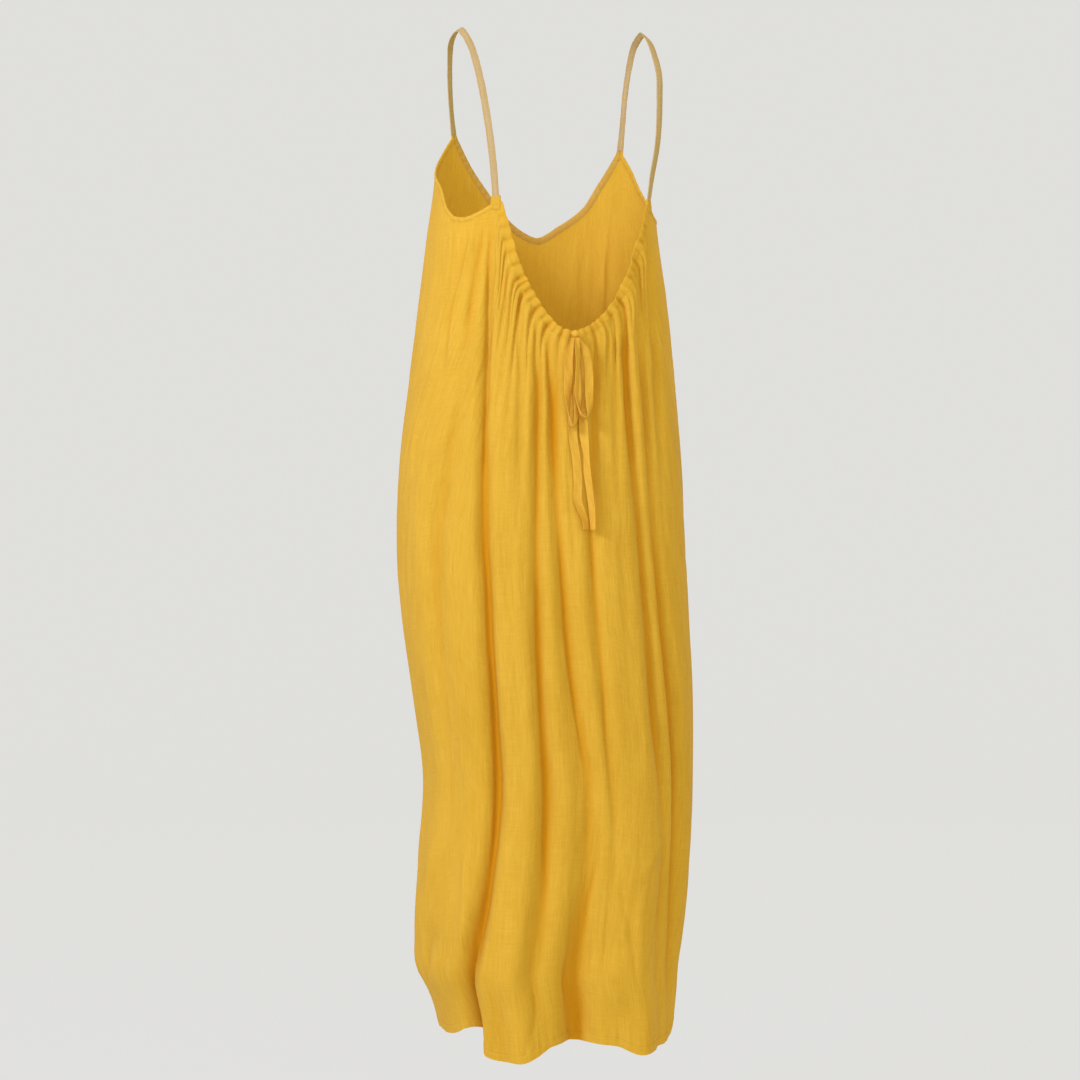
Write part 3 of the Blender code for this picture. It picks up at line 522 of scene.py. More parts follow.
def stitched(rows, steps):
    """Points evenly spaced along a smooth line through the rows of a stitch line."""
    bearing = np.array(column(rows, "bearing"))
    height = np.array(column(rows, "height"))
    run = run_along(drape(bearing, height))
    at = np.linspace(0.0, run[-1], steps + 1)
    return smooth(run, bearing, at), smooth(run, height, at)


def chained(*lines):
    """One line from several, each its bearings and its heights."""
    return tuple(np.concatenate(values) for values in zip(*lines))


def joined(first, *rest):
    """One line from several that share their end points."""
    return chained(first, *((bearing[1:], height[1:]) for bearing, height in rest))


def degree_along(bearing, height):
    """The step over the drape through one degree of bearing."""
    return drape(bearing + 0.5, height) - drape(bearing - 0.5, height)


def metres_a_degree(bearing, height):
    return np.linalg.norm(degree_along(bearing, height), axis=-1)


def square_to(line):
    """The unit direction over the cloth, square to a line, to its upper side: along and up."""
    bearing, height = line
    along = np.gradient(bearing) * metres_a_degree(bearing, height)
    up = np.gradient(height)
    length = np.hypot(along, up)
    side = np.sign(bearing[-1] - bearing[0])
    return -side * up / length, side * along / length


def beside(line, distance):
    """The line shifted square to itself over the cloth, to its upper side."""
    bearing, height = line
    along, up = square_to(line)
    return bearing + along * distance / metres_a_degree(bearing, height), height + up * distance


def seat(line, end, upper):
    """Where a binding's edge ends, turned up level under a strap, beside the corner the line ends at.

    end is 0 or -1, and upper is 0 for the binding's lower edge and 1 for its upper one.
    """
    bearing, height = line
    corner = bearing[end]
    neighbour = bearing[1] if end == 0 else bearing[-2]
    level = height[end] + STRAP_SEAT
    across = SEAT_INSET + (STRAP_WIDTH / 2 - SEAT_INSET) * upper
    turned = corner + np.sign(neighbour - corner) * across / metres_a_degree(corner, level)
    return [turned], [level]


def strap_end(corner):
    """A strap's end, level on the bindings that meet over this corner of the stitch lines."""
    level = corner.height + STRAP_SEAT + STRAP_GAP
    x, y, z = drape(corner.bearing, level)
    along = degree_along(corner.bearing, level)
    return Turned(x, y, z, math.degrees(math.atan(along[1] / along[0])))


# --- meshes

def outward(grid):
    """Unit normals of a grid of points, pointing away from the dress's middle."""
    normal = np.cross(np.gradient(grid, axis=0), np.gradient(grid, axis=1))
    normal /= np.linalg.norm(normal, axis=-1, keepdims=True) + 1e-12
    away = (grid - np.array(DRESS_MIDDLE)) * np.array([1.0, 1.0, 0.0])
    return normal * np.sign((normal * away).sum())


def quads(corner):
    """Faces between the neighbours in a grid of point numbers."""
    around = [corner[:-1, :-1], corner[:-1, 1:], corner[1:, 1:], corner[1:, :-1]]
    return np.stack(around, axis=-1).reshape(-1, 4)


def tube(ring):
    """Faces round a tube, from the point numbers of each ring."""
    return quads(np.column_stack([ring, ring[:, :1]])).tolist()


def caps(ring):
    return [ring[0].tolist(), ring[-1, ::-1].tolist()]


def shown(name, data):
    thing = bpy.data.objects.new(name, data)
    bpy.context.scene.collection.objects.link(thing)
    return thing


def mesh_piece(name, places, faces, finish, uv, painted_shade=None):
    """A shown piece from its places, its faces and one uv place, in metres of cloth, for each place.

    The last argument says how deep in a fold each place lies, from 0 to 1, which the finish paints as
    shade.
    """
    mesh = bpy.data.meshes.new(name)
    mesh.from_pydata(places.tolist(), [], faces)
    layer = mesh.uv_layers.new(name="cloth")
    corners = np.empty(len(mesh.loops), dtype=np.int32)
    mesh.loops.foreach_get("vertex_index", corners)
    layer.data.foreach_set("uv", uv[corners].astype(np.float32).ravel())
    work = bmesh.new()
    work.from_mesh(mesh)
    bmesh.ops.recalc_face_normals(work, faces=work.faces)
    work.to_mesh(mesh)
    work.free()
    mesh.shade_smooth()
    mesh.set_sharp_from_angle(angle=math.radians(65))
    mesh.materials.append(finish)
    if painted_shade is not None:
        mesh.attributes.new("painted_shade", "FLOAT", "POINT").data.foreach_set("value", painted_shade.astype(np.float32))
    return shown(name, mesh)


def shell(name, middle, thickness, uv, finish, outer_painted_shade, inner_painted_shade):
    """A closed wall of cloth round a grid of middle points."""
    half = outward(middle) * np.broadcast_to(thickness, middle.shape[:2])[..., None] / 2
    rows, columns = middle.shape[:2]
    outer = np.arange(rows * columns).reshape(rows, columns)
    inner = outer + rows * columns
    rim = np.concatenate([outer[0], outer[1:, -1], outer[-1, -2::-1], outer[-2:0:-1, 0]])
    next_rim = np.roll(rim, -1)
    wall = np.stack([rim, next_rim, next_rim + rows * columns, rim + rows * columns], axis=-1)
    faces = np.concatenate([quads(outer), quads(inner)[:, ::-1], wall])
    places = np.concatenate([(middle + half).reshape(-1, 3), (middle - half).reshape(-1, 3)])
    flat = uv.reshape(-1, 2)
    painted_shade = np.concatenate([outer_painted_shade.ravel(), inner_painted_shade.ravel()])
    return mesh_piece(name, places, faces.tolist(), finish, np.concatenate([flat, flat]), painted_shade)


def rounded_section(squareness, sides):
    """A closed section from -1 to 1 both ways: across and out."""
    turn = np.linspace(0, 2 * math.pi, sides, endpoint=False)
    across = np.sign(np.cos(turn)) * np.abs(np.cos(turn)) ** (2 / squareness)
    out = np.sign(np.sin(turn)) * np.abs(np.sin(turn)) ** (2 / squareness)
    return across, out


def tape(name, centre, across, side, out, thick, finish, uv_turn=0.0, painted_shade=None):
    """A closed strip: side runs from -1 to 1 along across, and thick goes along out.

    centre, across and out are (stations, 3), side is (sides,) and thick is (stations, sides).
    """
    stations, sides = len(centre), len(side)
    wide = across[:, None] * side[None, :, None]
    deep = out[:, None] * thick[..., None]
    places = (centre[:, None] + wide + deep).reshape(-1, 3)
    ring = np.arange(stations * sides).reshape(stations, sides)
    run = np.repeat(run_along(centre), sides)
    steps = np.linalg.norm(np.diff(wide + deep, axis=1), axis=2)
    girth = np.pad(np.cumsum(steps, axis=1), ((0, 0), (1, 0))).ravel()
    turn = math.radians(uv_turn)
    uv = np.stack([girth * math.cos(turn) - run * math.sin(turn),
                   girth * math.sin(turn) + run * math.cos(turn)], axis=-1)
    return mesh_piece(name, places, tube(ring) + caps(ring), finish, uv, painted_shade)


def dress(piece, *nodes, slot):
    """The piece stands for these nodes of the frame and rides along; the slot is not used."""
    if nodes:
        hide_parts(*nodes)
    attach(piece, "root")
    return piece


# --- stitches

STITCH_PITCH = 0.0028
BINDING_STITCH = 0.62  # how far from its middle a binding's stitches run, where its edge is 1
STRAP_STITCH = 0.66  # and a strap's
STITCH_LENGTH = 0.0021
STITCH_RADIUS = 0.00022
STITCH_SIDES = 5
STITCH_AHEAD = 0.0005  # over what length a stitch takes its direction from the cloth


def stitches(name, lines, finish, slot):
    """Rows of thread stitches that lie on the cloth: each line is its places and their normals."""
    places, faces = [], []
    along_stitch = np.array([-1.0, -0.6, 0.6, 1.0]) * STITCH_LENGTH / 2
    radius = np.array([0.35, 1.0, 1.0, 0.35]) * STITCH_RADIUS
    lift = np.array([-0.6, 0.35, 0.35, -0.6]) * STITCH_RADIUS
    turn = np.linspace(0, 2 * math.pi, STITCH_SIDES, endpoint=False)
    count = 0
    for line, normal in lines:
        run = run_along(line)
        at = np.arange(STITCH_PITCH, run[-1] - STITCH_PITCH / 2, STITCH_PITCH)
        centre, ahead, up = (
            np.stack([np.interp(where, run, values) for values in rows.T], axis=-1)
            for where, rows in ((at, line), (at + STITCH_AHEAD, line), (at, normal))
        )
        tangent = unit(ahead - centre)
        side = unit(np.cross(tangent, up))
        ring = (
            centre[:, None, None]
            + tangent[:, None, None] * along_stitch[None, :, None, None]
            + up[:, None, None] * (lift[:, None] + radius[:, None] * np.sin(turn))[None, :, :, None]
            + side[:, None, None] * (radius[:, None] * np.cos(turn))[None, :, :, None]
        )
        for stitch in ring:
            index = count + np.arange(stitch.shape[0] * STITCH_SIDES).reshape(-1, STITCH_SIDES)
            faces += tube(index) + caps(index)
            count += index.size
        places.append(ring.reshape(-1, 3))
    places = np.concatenate(places)
    uv = places[:, [0, 2]]
    return dress(mesh_piece(name, places, faces, finish, uv), slot=slot)


# --- panels

def ripples(u, v):
    """Soft ripples of light cloth, in metres, over places in metres of cloth."""
    chance = np.random.RandomState(RIPPLE_SEED)
    height = np.zeros(u.shape)
    for ripple in RIPPLES:
        phase = chance.uniform(0, 2 * math.pi, 5)
        wander = 0.9 * np.sin(2 * math.pi * v / ripple.down + phase[0])
        wander += 0.6 * np.sin(2 * math.pi * (v / (0.43 * ripple.down) + u / 0.31) + phase[1])
        strength = 0.55 + 0.45 * np.sin(2 * math.pi * (v / (1.7 * ripple.down) + u / 0.17) + phase[2])
        strength *= 0.6 + 0.4 * np.sin(2 * math.pi * u / (3.7 * ripple.across) + phase[3])
        wave = np.sin(2 * math.pi * u / ripple.across + wander + phase[4])
        height += ripple.height_mm / 1000 * strength * (wave - 0.35 * np.cos(2 * wander + wave))
    return height


def crease_relief(creases, bearing, height, scale):
    """How far the listed creases move the cloth outwards."""
    relief = np.zeros(bearing.shape)
    for crease in creases:
        heights = [-place[0] / 1000 for place in crease.line]
        bearings = [place[1] for place in crease.line]
        length = heights[0] - heights[-1]
        below = (heights[0] - height) / length
        fade = ease(below / CREASE_TOP_FADE) * ease((1 - below) / CREASE_END_FADE)
        away = (bearing - smooth(heights, bearings, height)) * scale
        width = crease.width_mm / 1000 * (1 + crease.lean * np.tanh(away / CREASE_LEAN_REACH))
        sharpness = TROUGH_SHARPNESS if crease.depth_mm > 0 else RIDGE_SHARPNESS
        relief -= crease.depth_mm / 1000 * fade * bell(away / width, sharpness)
    return relief


def gather_relief(place, below):
    """How far the scoop's gathers move the cloth outwards, below the casing."""
    relief = np.zeros(place.shape)
    rise = GATHER_AT_CASING + (1 - GATHER_AT_CASING) * ease(below / GATHER_RISE)
    wider = np.minimum(1 + below / GATHER_SPREAD, GATHER_WIDEST)
    for gather in GATHER_FOLDS:
        fall = ease(1 - (below - GATHER_RISE) / (gather.reach_mm / 1000 - GATHER_RISE))
        across = bell((place - gather.place) / (gather.width * wider), GATHER_ROUNDNESS)
        relief -= gather.depth_mm / 1000 * rise * fall * across
    corner = ease(np.minimum(place, GATHERS - place) / GATHER_CALM)
    puff = GATHER_PUFF * np.sin(math.pi * np.clip(below / PUFF_LENGTH, 0, 1))
    between = GATHER_LIFT * (1 - ease(below / GATHER_LIFT_REACH))
    return np.where((place > 0) & (place < GATHERS), corner * (relief + puff + between), 0.0)


def panel_grid(edge, half_turn, lead):
    """Bearings and heights over a panel, from its stitch line to the hem, between the side seams.

    half_turn is 180 degrees for the back and -180 for the front. lead says over what length each
    column leaves the stitch line square to it. Also gives the length run down each column.
    """
    top_bearing, top_height = edge
    even = np.linspace(0, 1, len(top_bearing))
    seam = side_seam(top_height)
    top_share = (top_bearing - seam) / (half_turn - 2 * seam)
    top_share[[0, -1]] = 0.0, 1.0
    seam = side_seam(SIDE_SEAM[-1].height)
    hem = hem_height(seam + even * (half_turn - 2 * seam))
    along, up = square_to(edge)
    down = (np.linspace(0, 1, PANEL_ROWS + 1) ** ROW_CROWDING)[:, None]
    band = hem + HEM_ROWS[0] + HEM_LEAD
    run = down * (top_height - band)
    led = lead * (1 - np.exp(-run / np.maximum(lead, 1e-6)))
    drop = run - led * (1 - up)
    drop *= (top_height - band) / drop[-1]
    height = np.concatenate([top_height - drop, hem + np.array(HEM_ROWS)[:, None]])
    run = np.concatenate([run, run[-1] + band - hem - np.array(HEM_ROWS)[:, None]])
    led = np.concatenate([led, np.repeat(led[-1:], len(HEM_ROWS), axis=0)])
    share = (top_height - height) / (top_height - hem)
    fanned = 1 - (1 - np.clip(share / FAN_END, 0, 1)) ** FAN_SHARPNESS
    share = top_share + (even - top_share) * fanned
    seam = side_seam(height)
    bearing = seam + share * (half_turn - 2 * seam)
    bearing = bearing - along * led / (np.radians(1) * plain_place(bearing, height)[2])
    half_gap = SIDE_SEAM_GAP / 2 / metres_a_degree(bearing, height) * np.sign(half_turn)
    bearing[:, 0] += half_gap[:, 0]
    bearing[:, -1] -= half_gap[:, -1]
    return bearing, height, run


def edge_relief(u, width, v, hem_above):
    """The side seams' grooves with their puckers, and the puckers along the hem's stitches."""
    seam = np.minimum(u, width - u)
    pucker = 0.6 + 0.4 * np.sin(2 * math.pi * v / 0.0137 + 3 * np.sin(v / 0.05))
    groove = -SEAM_GROOVE * pucker * bell(seam / SEAM_GROOVE_REACH)
    beside_seam = SEAM_RIDGE * pucker * bell((seam - SEAM_RIDGE_PLACE) / SEAM_RIDGE_REACH)
    phase = 2 * math.pi * u / 0.0113 + 2.5 * np.sin(u / 0.031)
    hem = HEM_PUCKER * np.sin(phase) * bell((hem_above - HEM_BAND) / HEM_PUCKER_REACH)
    return groove + beside_seam + hem


def blurred(values, reach):
    """The rows' values smoothed along each row, over reach columns."""
    span = np.arange(-math.ceil(3 * reach), math.ceil(3 * reach) + 1)
    weight = np.exp(-((span / reach) ** 2) / 2)
    weight /= weight.sum()
    padded = np.pad(values, ((0, 0), (len(span) // 2, len(span) // 2)), mode="edge")
    return np.apply_along_axis(np.convolve, 1, padded, weight, mode="valid")


def painted_shades(relief, column_width):
    """Painted shade for lying deep in the folds, 0 to 1, for each place seen from outside and from inside.
    """
    narrow = (blurred(relief, PAINTED_SHADE_NARROW / column_width) - relief) / PAINTED_SHADE_NARROW_DEPTH
    wide = (blurred(relief, PAINTED_SHADE_WIDE / column_width) - relief) / PAINTED_SHADE_WIDE_DEPTH
    depth = PAINTED_SHADE_NARROW_SHARE * narrow + PAINTED_SHADE_WIDE_SHARE * wide
    return ease(depth), ease(-PAINTED_SHADE_INSIDE_SHARE * depth)


def hem_thickness(hem_above):
    """A turned hem is double cloth below its stitch line, and the stitches press it thin."""
    turned = SHELL + (HEM_CLOTH - SHELL) * ease((HEM_BAND + HEM_TURN - hem_above) / (2 * HEM_TURN))
    return turned - HEM_PRESS * bell((hem_above - HEM_BAND + HEM_TURN) / HEM_PRESS_REACH)


def panel(node, edge, half_turn, lead, creases, gathered, finish):
    bearing, height, run = panel_grid(edge, half_turn, lead)
    base = drape(bearing, height)
    widths = np.linalg.norm(np.diff(base[-1], axis=0), axis=1)
    girth = widths.sum()
    u = np.linspace(0, girth, bearing.shape[1]) * np.ones(height.shape)
    v = run[-1] - run
    hem_above = height - height[-1]
    relief = crease_relief(creases, bearing, height, metres_a_degree(bearing, height))
    relief += ripples(u, v) * ease(run / RIPPLE_FADE)
    relief *= ease(np.minimum(u, girth - u) / SEAM_CALM)
    relief += edge_relief(u, girth, v, hem_above)
    if gathered:
        place = (np.arange(bearing.shape[1]) - BACK_ARMHOLE_LEFT_STEPS) * GATHERS / BACK_SCOOP_STEPS
        relief += gather_relief(place * np.ones(height.shape), run)
    middle = base + outward(base) * relief[..., None]
    uv = np.stack([u, v], axis=-1)
    # Painted shade: the deeper colour that the finish puts where the cloth lies deep in its folds
    reach = plain_place(bearing, height)[2]
    painted_shade = painted_shades(relief - fold_depth(bearing, height, reach), girth / bearing.shape[1])
    piece = shell(node + "_cloth", middle, hem_thickness(hem_above), uv, finish, *painted_shade)
    dress(piece, node, slot="cloth")
    row = PANEL_ROWS + 1 + HEM_ROWS.index(HEM_STITCH)
    normal = outward(middle)[row]
    half = hem_thickness(HEM_STITCH) / 2
    return [(middle[row] + normal * half, normal), (middle[row] - normal * half, -normal)]


# --- bindings, casing, straps, ties

def resampled(line, step):
    """Rows evenly spaced along a line of rows that each start with a place, and the run at each."""
    run = run_along(line[:, :3])
    at = np.linspace(0.0, run[-1], round(run[-1] / step) + 1)
    return np.stack([smooth(run, values, at) for values in line.T], axis=-1), at


def bound_edges(line, low, high):
    """The lower and the upper edge of a binding, as places, between its seats under the straps."""
    return [
        drape(*chained(seat(line, 0, upper), beside(line, distance), seat(line, -1, upper)))
        for upper, distance in enumerate((low, high))
    ]


def strip_over(line, low, high, *more):
    """A folded strip over a stitch line: its upper and lower edge, outwards, and more columns along it."""
    low, high = bound_edges(line, low, high)
    out = outward(np.stack([high, low])).mean(axis=0)
    rows = resampled(np.concatenate([high, low, out, *more], axis=1), TAPE_STEP / 2)[0]
    high, low = rows[:, :3], rows[:, 3:6]
    return high, low, unit(rows[:, 6:9]), rows[:, 9:]


def binding(node, line, width, finish):
    """A folded strip over a raw edge, with a stitch line near its lower edge."""
    high, low, out = strip_over(line, -BINDING_UNDER, width)[:3]
    centre = (high + low) / 2
    across = (high - low) / 2
    run = run_along(centre)
    side, thick = rounded_section(3.2, TAPE_SIDES)
    groove = 1 - 0.42 * bell((side + BINDING_STITCH) / 0.10)
    uneven = 1 + 0.10 * np.sin(2 * math.pi * run / 0.0127) * np.sin(2 * math.pi * run / 0.041)
    thickness = BINDING_CLOTH / 2 * uneven[:, None] * (thick * groove)[None]
    wave = BINDING_WAVE * np.sin(2 * math.pi * run / 0.0093 + 2 * np.sin(run / 0.02))
    piece = tape(node + "_cloth", centre + out * wave[:, None], across, side, out, thickness, finish,
                 uv_turn=45)
    dress(piece, node, slot="trim")
    stitch_line = centre - across * BINDING_STITCH
    level = BINDING_CLOTH / 2 * 0.60
    return [(stitch_line + out * level, out), (stitch_line - out * level, -out)]


def casing(node, line, finish):
    """The drawstring's channel: a soft rolled edge that the gathers run up into."""
    place = np.linspace(0, GATHERS, len(line[0]))
    place = np.pad(place, 1, mode="edge")[:, None]
    high, low, out, place = strip_over(line, -CASING_UNDER, CASING_WIDTH, place)
    place = place[:, 0]
    pinch = np.zeros(len(place))
    for gather in GATHER_FOLDS:
        pinch += min(1.0, gather.depth_mm / PINCH_DEPTH_MM) * bell((place - gather.place) / PINCH_WIDTH)
    pinch = np.minimum(pinch, 1.0)
    scallop = SCALLOP_RISE - SCALLOP_DIP * pinch
    high = high + unit(high - low) * scallop[:, None]
    centre = (high + low) / 2
    across = (high - low) / 2
    side, thick = rounded_section(2.6, TAPE_SIDES)
    thickness = CASING_CLOTH / 2 * (1.1 - 0.2 * pinch)[:, None] * thick[None]
    waves = gather_relief(place, np.zeros(len(place)))[:, None] * (0.72 - 0.28 * side)[None]
    # Painted shade where the gathers pinch the casing, strongest along its lower edge
    painted_shade = np.repeat(0.9 * pinch, len(side)) * np.tile(0.7 - 0.3 * side, len(pinch))
    piece = tape(node + "_cloth", centre, across, side, out, thickness + waves, finish, painted_shade=painted_shade)
    dress(piece, node, slot="cloth")


def casing_end(name, corner, finish):
    """The casing's end turned over the foot of a strap: a small soft wrap."""
    rise = np.linspace(-1, 1, 19)
    height = corner.height + STRAP_SEAT / 2 + rise * CASING_END_LENGTH / 2
    centre = drape(corner.bearing, height)
    along = unit(degree_along(corner.bearing, height))
    out = unit(np.cross(along, np.gradient(centre, axis=0)))
    side, thick = rounded_section(2.8, TAPE_SIDES)
    round_off = (1 - np.abs(rise) ** 3.2) ** (1 / 3.2) * 0.94 + 0.06
    half = (STRAP_WIDTH / 2 + CASING_END_MARGIN) * (0.72 + 0.28 * round_off)
    crease = 1 + 0.10 * np.sin(7 * rise[:, None] + 2.2 * side[None])
    thickness = (STRAP_CLOTH / 2 + CASING_END_COVER) * round_off[:, None] * thick[None] * crease
    dress(tape(name, centre, along * half[:, None], side, out, thickness, finish), slot="cloth")


def strip_frame(route, step):
    """Centre, across, out and the run along a flat strip's route."""
    rows, run = resampled(np.array(route), step)
    centre = rows[:, :3]
    turn, tilt = np.radians(rows[:, 3:].T)
    level = np.cos(tilt)
    across = np.stack([np.cos(turn) * level, np.sin(turn) * level, np.sin(tilt)], axis=-1)
    out = unit(np.cross(across, np.gradient(centre, axis=0)))
    return centre, across, out, run


def strap(node, route, finish):
    """A strap sewn from a folded strip: rounded edges and a stitch line near each."""
    centre, across, out, run = strip_frame(route, TAPE_STEP)
    side, thick = rounded_section(3.4, TAPE_SIDES)
    groove = 1 - 0.30 * bell((np.abs(side) - STRAP_STITCH) / 0.09)
    uneven = 1 + 0.035 * np.sin(2 * math.pi * run / 0.023) * np.sin(2 * math.pi * run / 0.067 + 1)
    half = STRAP_WIDTH / 2 * uneven
    thickness = STRAP_CLOTH / 2 * np.tile(thick * groove, (len(run), 1))
    piece = tape(node + "_cloth", centre, across * half[:, None], side, out, thickness, finish)
    dress(piece, node, slot="trim")
    level = STRAP_CLOTH / 2 * 0.72
    lines = []
    for edge in (-STRAP_STITCH, STRAP_STITCH):
        line = centre + across * (half * edge)[:, None]
        lines += [(line + out * level, out), (line - out * level, -out)]
    return lines


def tie(node, route, finish):
    """One limp strip of the drawstring's bow, a little curled and creased."""
    centre, across, out, run = strip_frame(route, TIE_STEP)
    side, thick = rounded_section(3.0, TIE_SIDES)
    half = TIE_WIDTH / 2 * (0.45 + 0.55 * ease(run / TIE_SQUEEZE))
    if "loop" in node:
        half *= 0.45 + 0.55 * ease((run[-1] - run) / TIE_SQUEEZE)
    curl = TIE_CURL * np.sin(2 * math.pi * run / 0.093 + len(node)) + TIE_CURL_REST
    crease = TIE_CREASE * np.sin(2 * math.pi * (run[:, None] / 0.021 + side[None] * 0.35) + len(node))
    bend = curl[:, None] * (side**2 - 0.35)[None] + crease * (1 - side**2)[None]
    thickness = TIE_CLOTH / 2 * thick[None] * (1 + 0.25 * (np.abs(side) > 0.75))[None] + bend
    piece = tape(node + "_cloth", centre, across * half[:, None], side, out, thickness, finish)
    dress(piece, node, slot="tie")


def knot(finish):
    """The bow's knot: strips wrapped round each other, as a soft pleated ball."""
    turns, rings = 48, 32
    turn = np.linspace(0, 2 * math.pi, turns, endpoint=False)
    tilt = np.linspace(-math.pi / 2, math.pi / 2, rings)[1:-1]
    x = np.cos(tilt)[:, None] * np.cos(turn)[None]
    y = np.cos(tilt)[:, None] * np.sin(turn)[None]
    z = np.sin(tilt)[:, None] * np.ones(turns)[None]
    wrap = bell(x / 0.36, 4)
    pleats = 0.06 * np.sin(7 * x + 2.4 * z) * (1 - wrap) + 0.05 * np.sin(15 * x + 1.5 * z) * wrap
    swell = 0.86 + 0.14 * wrap + pleats
    size = np.array(KNOT_SIZE) / 2
    places = np.stack([x * swell * size[0], y * swell * size[1], z * swell * size[2]], axis=-1)
    poles = np.array([[0, 0, -size[2] * 0.95], [0, 0, size[2] * 0.95]])
    ring = np.arange(places.shape[0] * turns).reshape(-1, turns)
    faces = tube(ring)
    for row, pole in ((ring[0], ring.size), (ring[-1], ring.size + 1)):
        faces += [[pole, a, b] for a, b in zip(row.tolist(), np.roll(row, -1).tolist())]
    places = np.concatenate([places.reshape(-1, 3), poles]) + np.array(KNOT_CENTRE)
    piece = mesh_piece("tie_knot_cloth", places, faces, finish, places[:, [0, 2]])
    dress(piece, "tie_knot", slot="tie")


# --- finishes

def feed(node, sockets):
    """Set a node's sockets to values, or link them to the other nodes' outputs that are their values."""
    for name, value in sockets.items():
        if isinstance(value, bpy.types.NodeSocket):
            node.id_data.links.new(value, node.inputs[name])
        else:
            node.inputs[name].default_value = value


def new_finish(name):
    """A new material, and its shader."""
    finish = bpy.data.materials.new(name)
    finish.use_nodes = True
    return finish, finish.node_tree.nodes["Principled BSDF"]


def gauze(name, dark, light, deep, through, thread, relief, glow=0.35):
    """Matte woven gauze: slubs, crinkles and single threads, with some light coming through.

    deep is the colour of the shade painted down in the folds, through is the colour of the light that
    comes through it, thread is the spacing of its threads, and relief scales its crinkles.
    """
    finish, shader = new_finish(name)
    nodes = finish.node_tree.nodes

    def node(kind, sockets, **settings):
        """The outputs of a new node."""
        made = nodes.new("ShaderNode" + kind)
        for setting, value in settings.items():
            setattr(made, setting, value)
        feed(made, sockets)
        return made.outputs

    cloth = node("UVMap", {}, uv_map="cloth")["UV"]

    def noise(width, length, detail):
        spread = node("Mapping", {"Scale": (1 / width, 1 / length, 1.0), "Vector": cloth})["Vector"]
        return node("TexNoise", {"Scale": 1.0, "Detail": detail, "Vector": spread})["Fac"]

    def maths(operation, first, second):
        return node("Math", {0: first, 1: second}, operation=operation)[0]

    def mixed(factor, first, second):
        return node("Mix", {"A": first, "B": second, "Factor": factor}, data_type="RGBA")["Result"]

    def weighed(parts, start=0.0):
        """The sum of parts, each a noise about 0.5 with its weight."""
        total = start
        for part, weight in parts:
            centred = maths("SUBTRACT", part, 0.5)
            total = maths("ADD", maths("MULTIPLY", centred, weight), total)
        return total

    warp_slub = noise(0.0016, 0.045, 2.0)
    weft_slub = noise(0.030, 0.0013, 2.0)
    crinkle = noise(0.0042, 0.022, 3.0)
    cross_crinkle = noise(0.016, 0.0036, 2.0)
    cloud = noise(0.060, 0.110, 2.0)
    across = node("SeparateXYZ", {0: cloth})
    warp, weft = (
        maths("SINE", maths("MULTIPLY", across[way], 2 * math.pi / thread), 0.0) for way in "XY"
    )
    weave = maths("MULTIPLY", warp, weft)

    tone = weighed(((warp_slub, 1.5), (weft_slub, 1.1), (cloud, 0.9), (crinkle, 0.6)), 0.5)
    tone = maths("ADD", tone, maths("MULTIPLY", weave, 0.10))
    colour = mixed(tone, (*dark, 1.0), (*light, 1.0))
    # Painted shade: the base colour turns to deep where the mesh says a place lies deep in a fold
    painted_shade = node("Attribute", {}, attribute_name="painted_shade")["Fac"]
    height = weighed((
        (crinkle, 0.00060 * relief),
        (cross_crinkle, 0.00032 * relief),
        (warp_slub, 0.00022 * relief),
        (weft_slub, 0.00016 * relief),
    ))
    height = maths("ADD", height, maths("MULTIPLY", weave, 0.000018))
    normal = node("Bump", {"Strength": 1.0, "Distance": 1.0, "Height": height})["Normal"]
    feed(shader, {
        "Base Color": mixed(painted_shade, colour, (*deep, 1.0)),
        "Normal": normal,
        "Roughness": 0.86,
        "Specular IOR Level": 0.22,
        "Sheen Weight": 0.12,
        "Sheen Roughness": 0.5,
        "Sheen Tint": (1.0, 0.86, 0.55, 1.0),
    })
    lit_through = node("BsdfTranslucent", {"Color": (*through, 1.0), "Normal": normal})["BSDF"]
    both = node("MixShader", {"Fac": glow, 1: shader.outputs["BSDF"], 2: lit_through})["Shader"]
    feed(nodes["Material Output"], {"Surface": both})
    return finish


def thread_finish():
    # The third colour is the painted fold shade, which the stitches don't take
    finish = gauze("thread", (0.56, 0.30, 0.045), (0.66, 0.38, 0.070), (0.6, 0.3, 0.03), (0.6, 0.3, 0.03),
                   0.0004, 0.2, 0.1)
    feed(finish.node_tree.nodes["Principled BSDF"], {"Roughness": 0.7})
    return finish


def stage_finish():
    finish, shader = new_finish("studio_paper")
    feed(shader, {
        "Base Color": (*STAGE_COLOUR, 1.0),
        "Roughness": 1.0,
        "Specular IOR Level": 0.0,
        "Emission Color": (1.0, 1.0, 0.995, 1.0),
        "Emission Strength": STAGE_GLOW,
    })
    return finish


# --- studio

def build_camera():
    back = Vector((math.sin(CAMERA_TURN), math.cos(CAMERA_TURN), 0.0))
    left = Vector((back.y, -back.x, 0.0))
    camera = shown("camera", bpy.data.cameras.new("camera"))
    camera.location = back * CAMERA_DISTANCE + left * CAMERA_ASIDE + Vector((0, 0, CAMERA_HEIGHT))
    camera.rotation_euler = (-back).to_track_quat("-Z", "Y").to_euler()
    camera.data.lens = CAMERA_LENS
    camera.data.sensor_width = 36.0
    camera.data.clip_end = 50.0
    bpy.context.scene.camera = camera


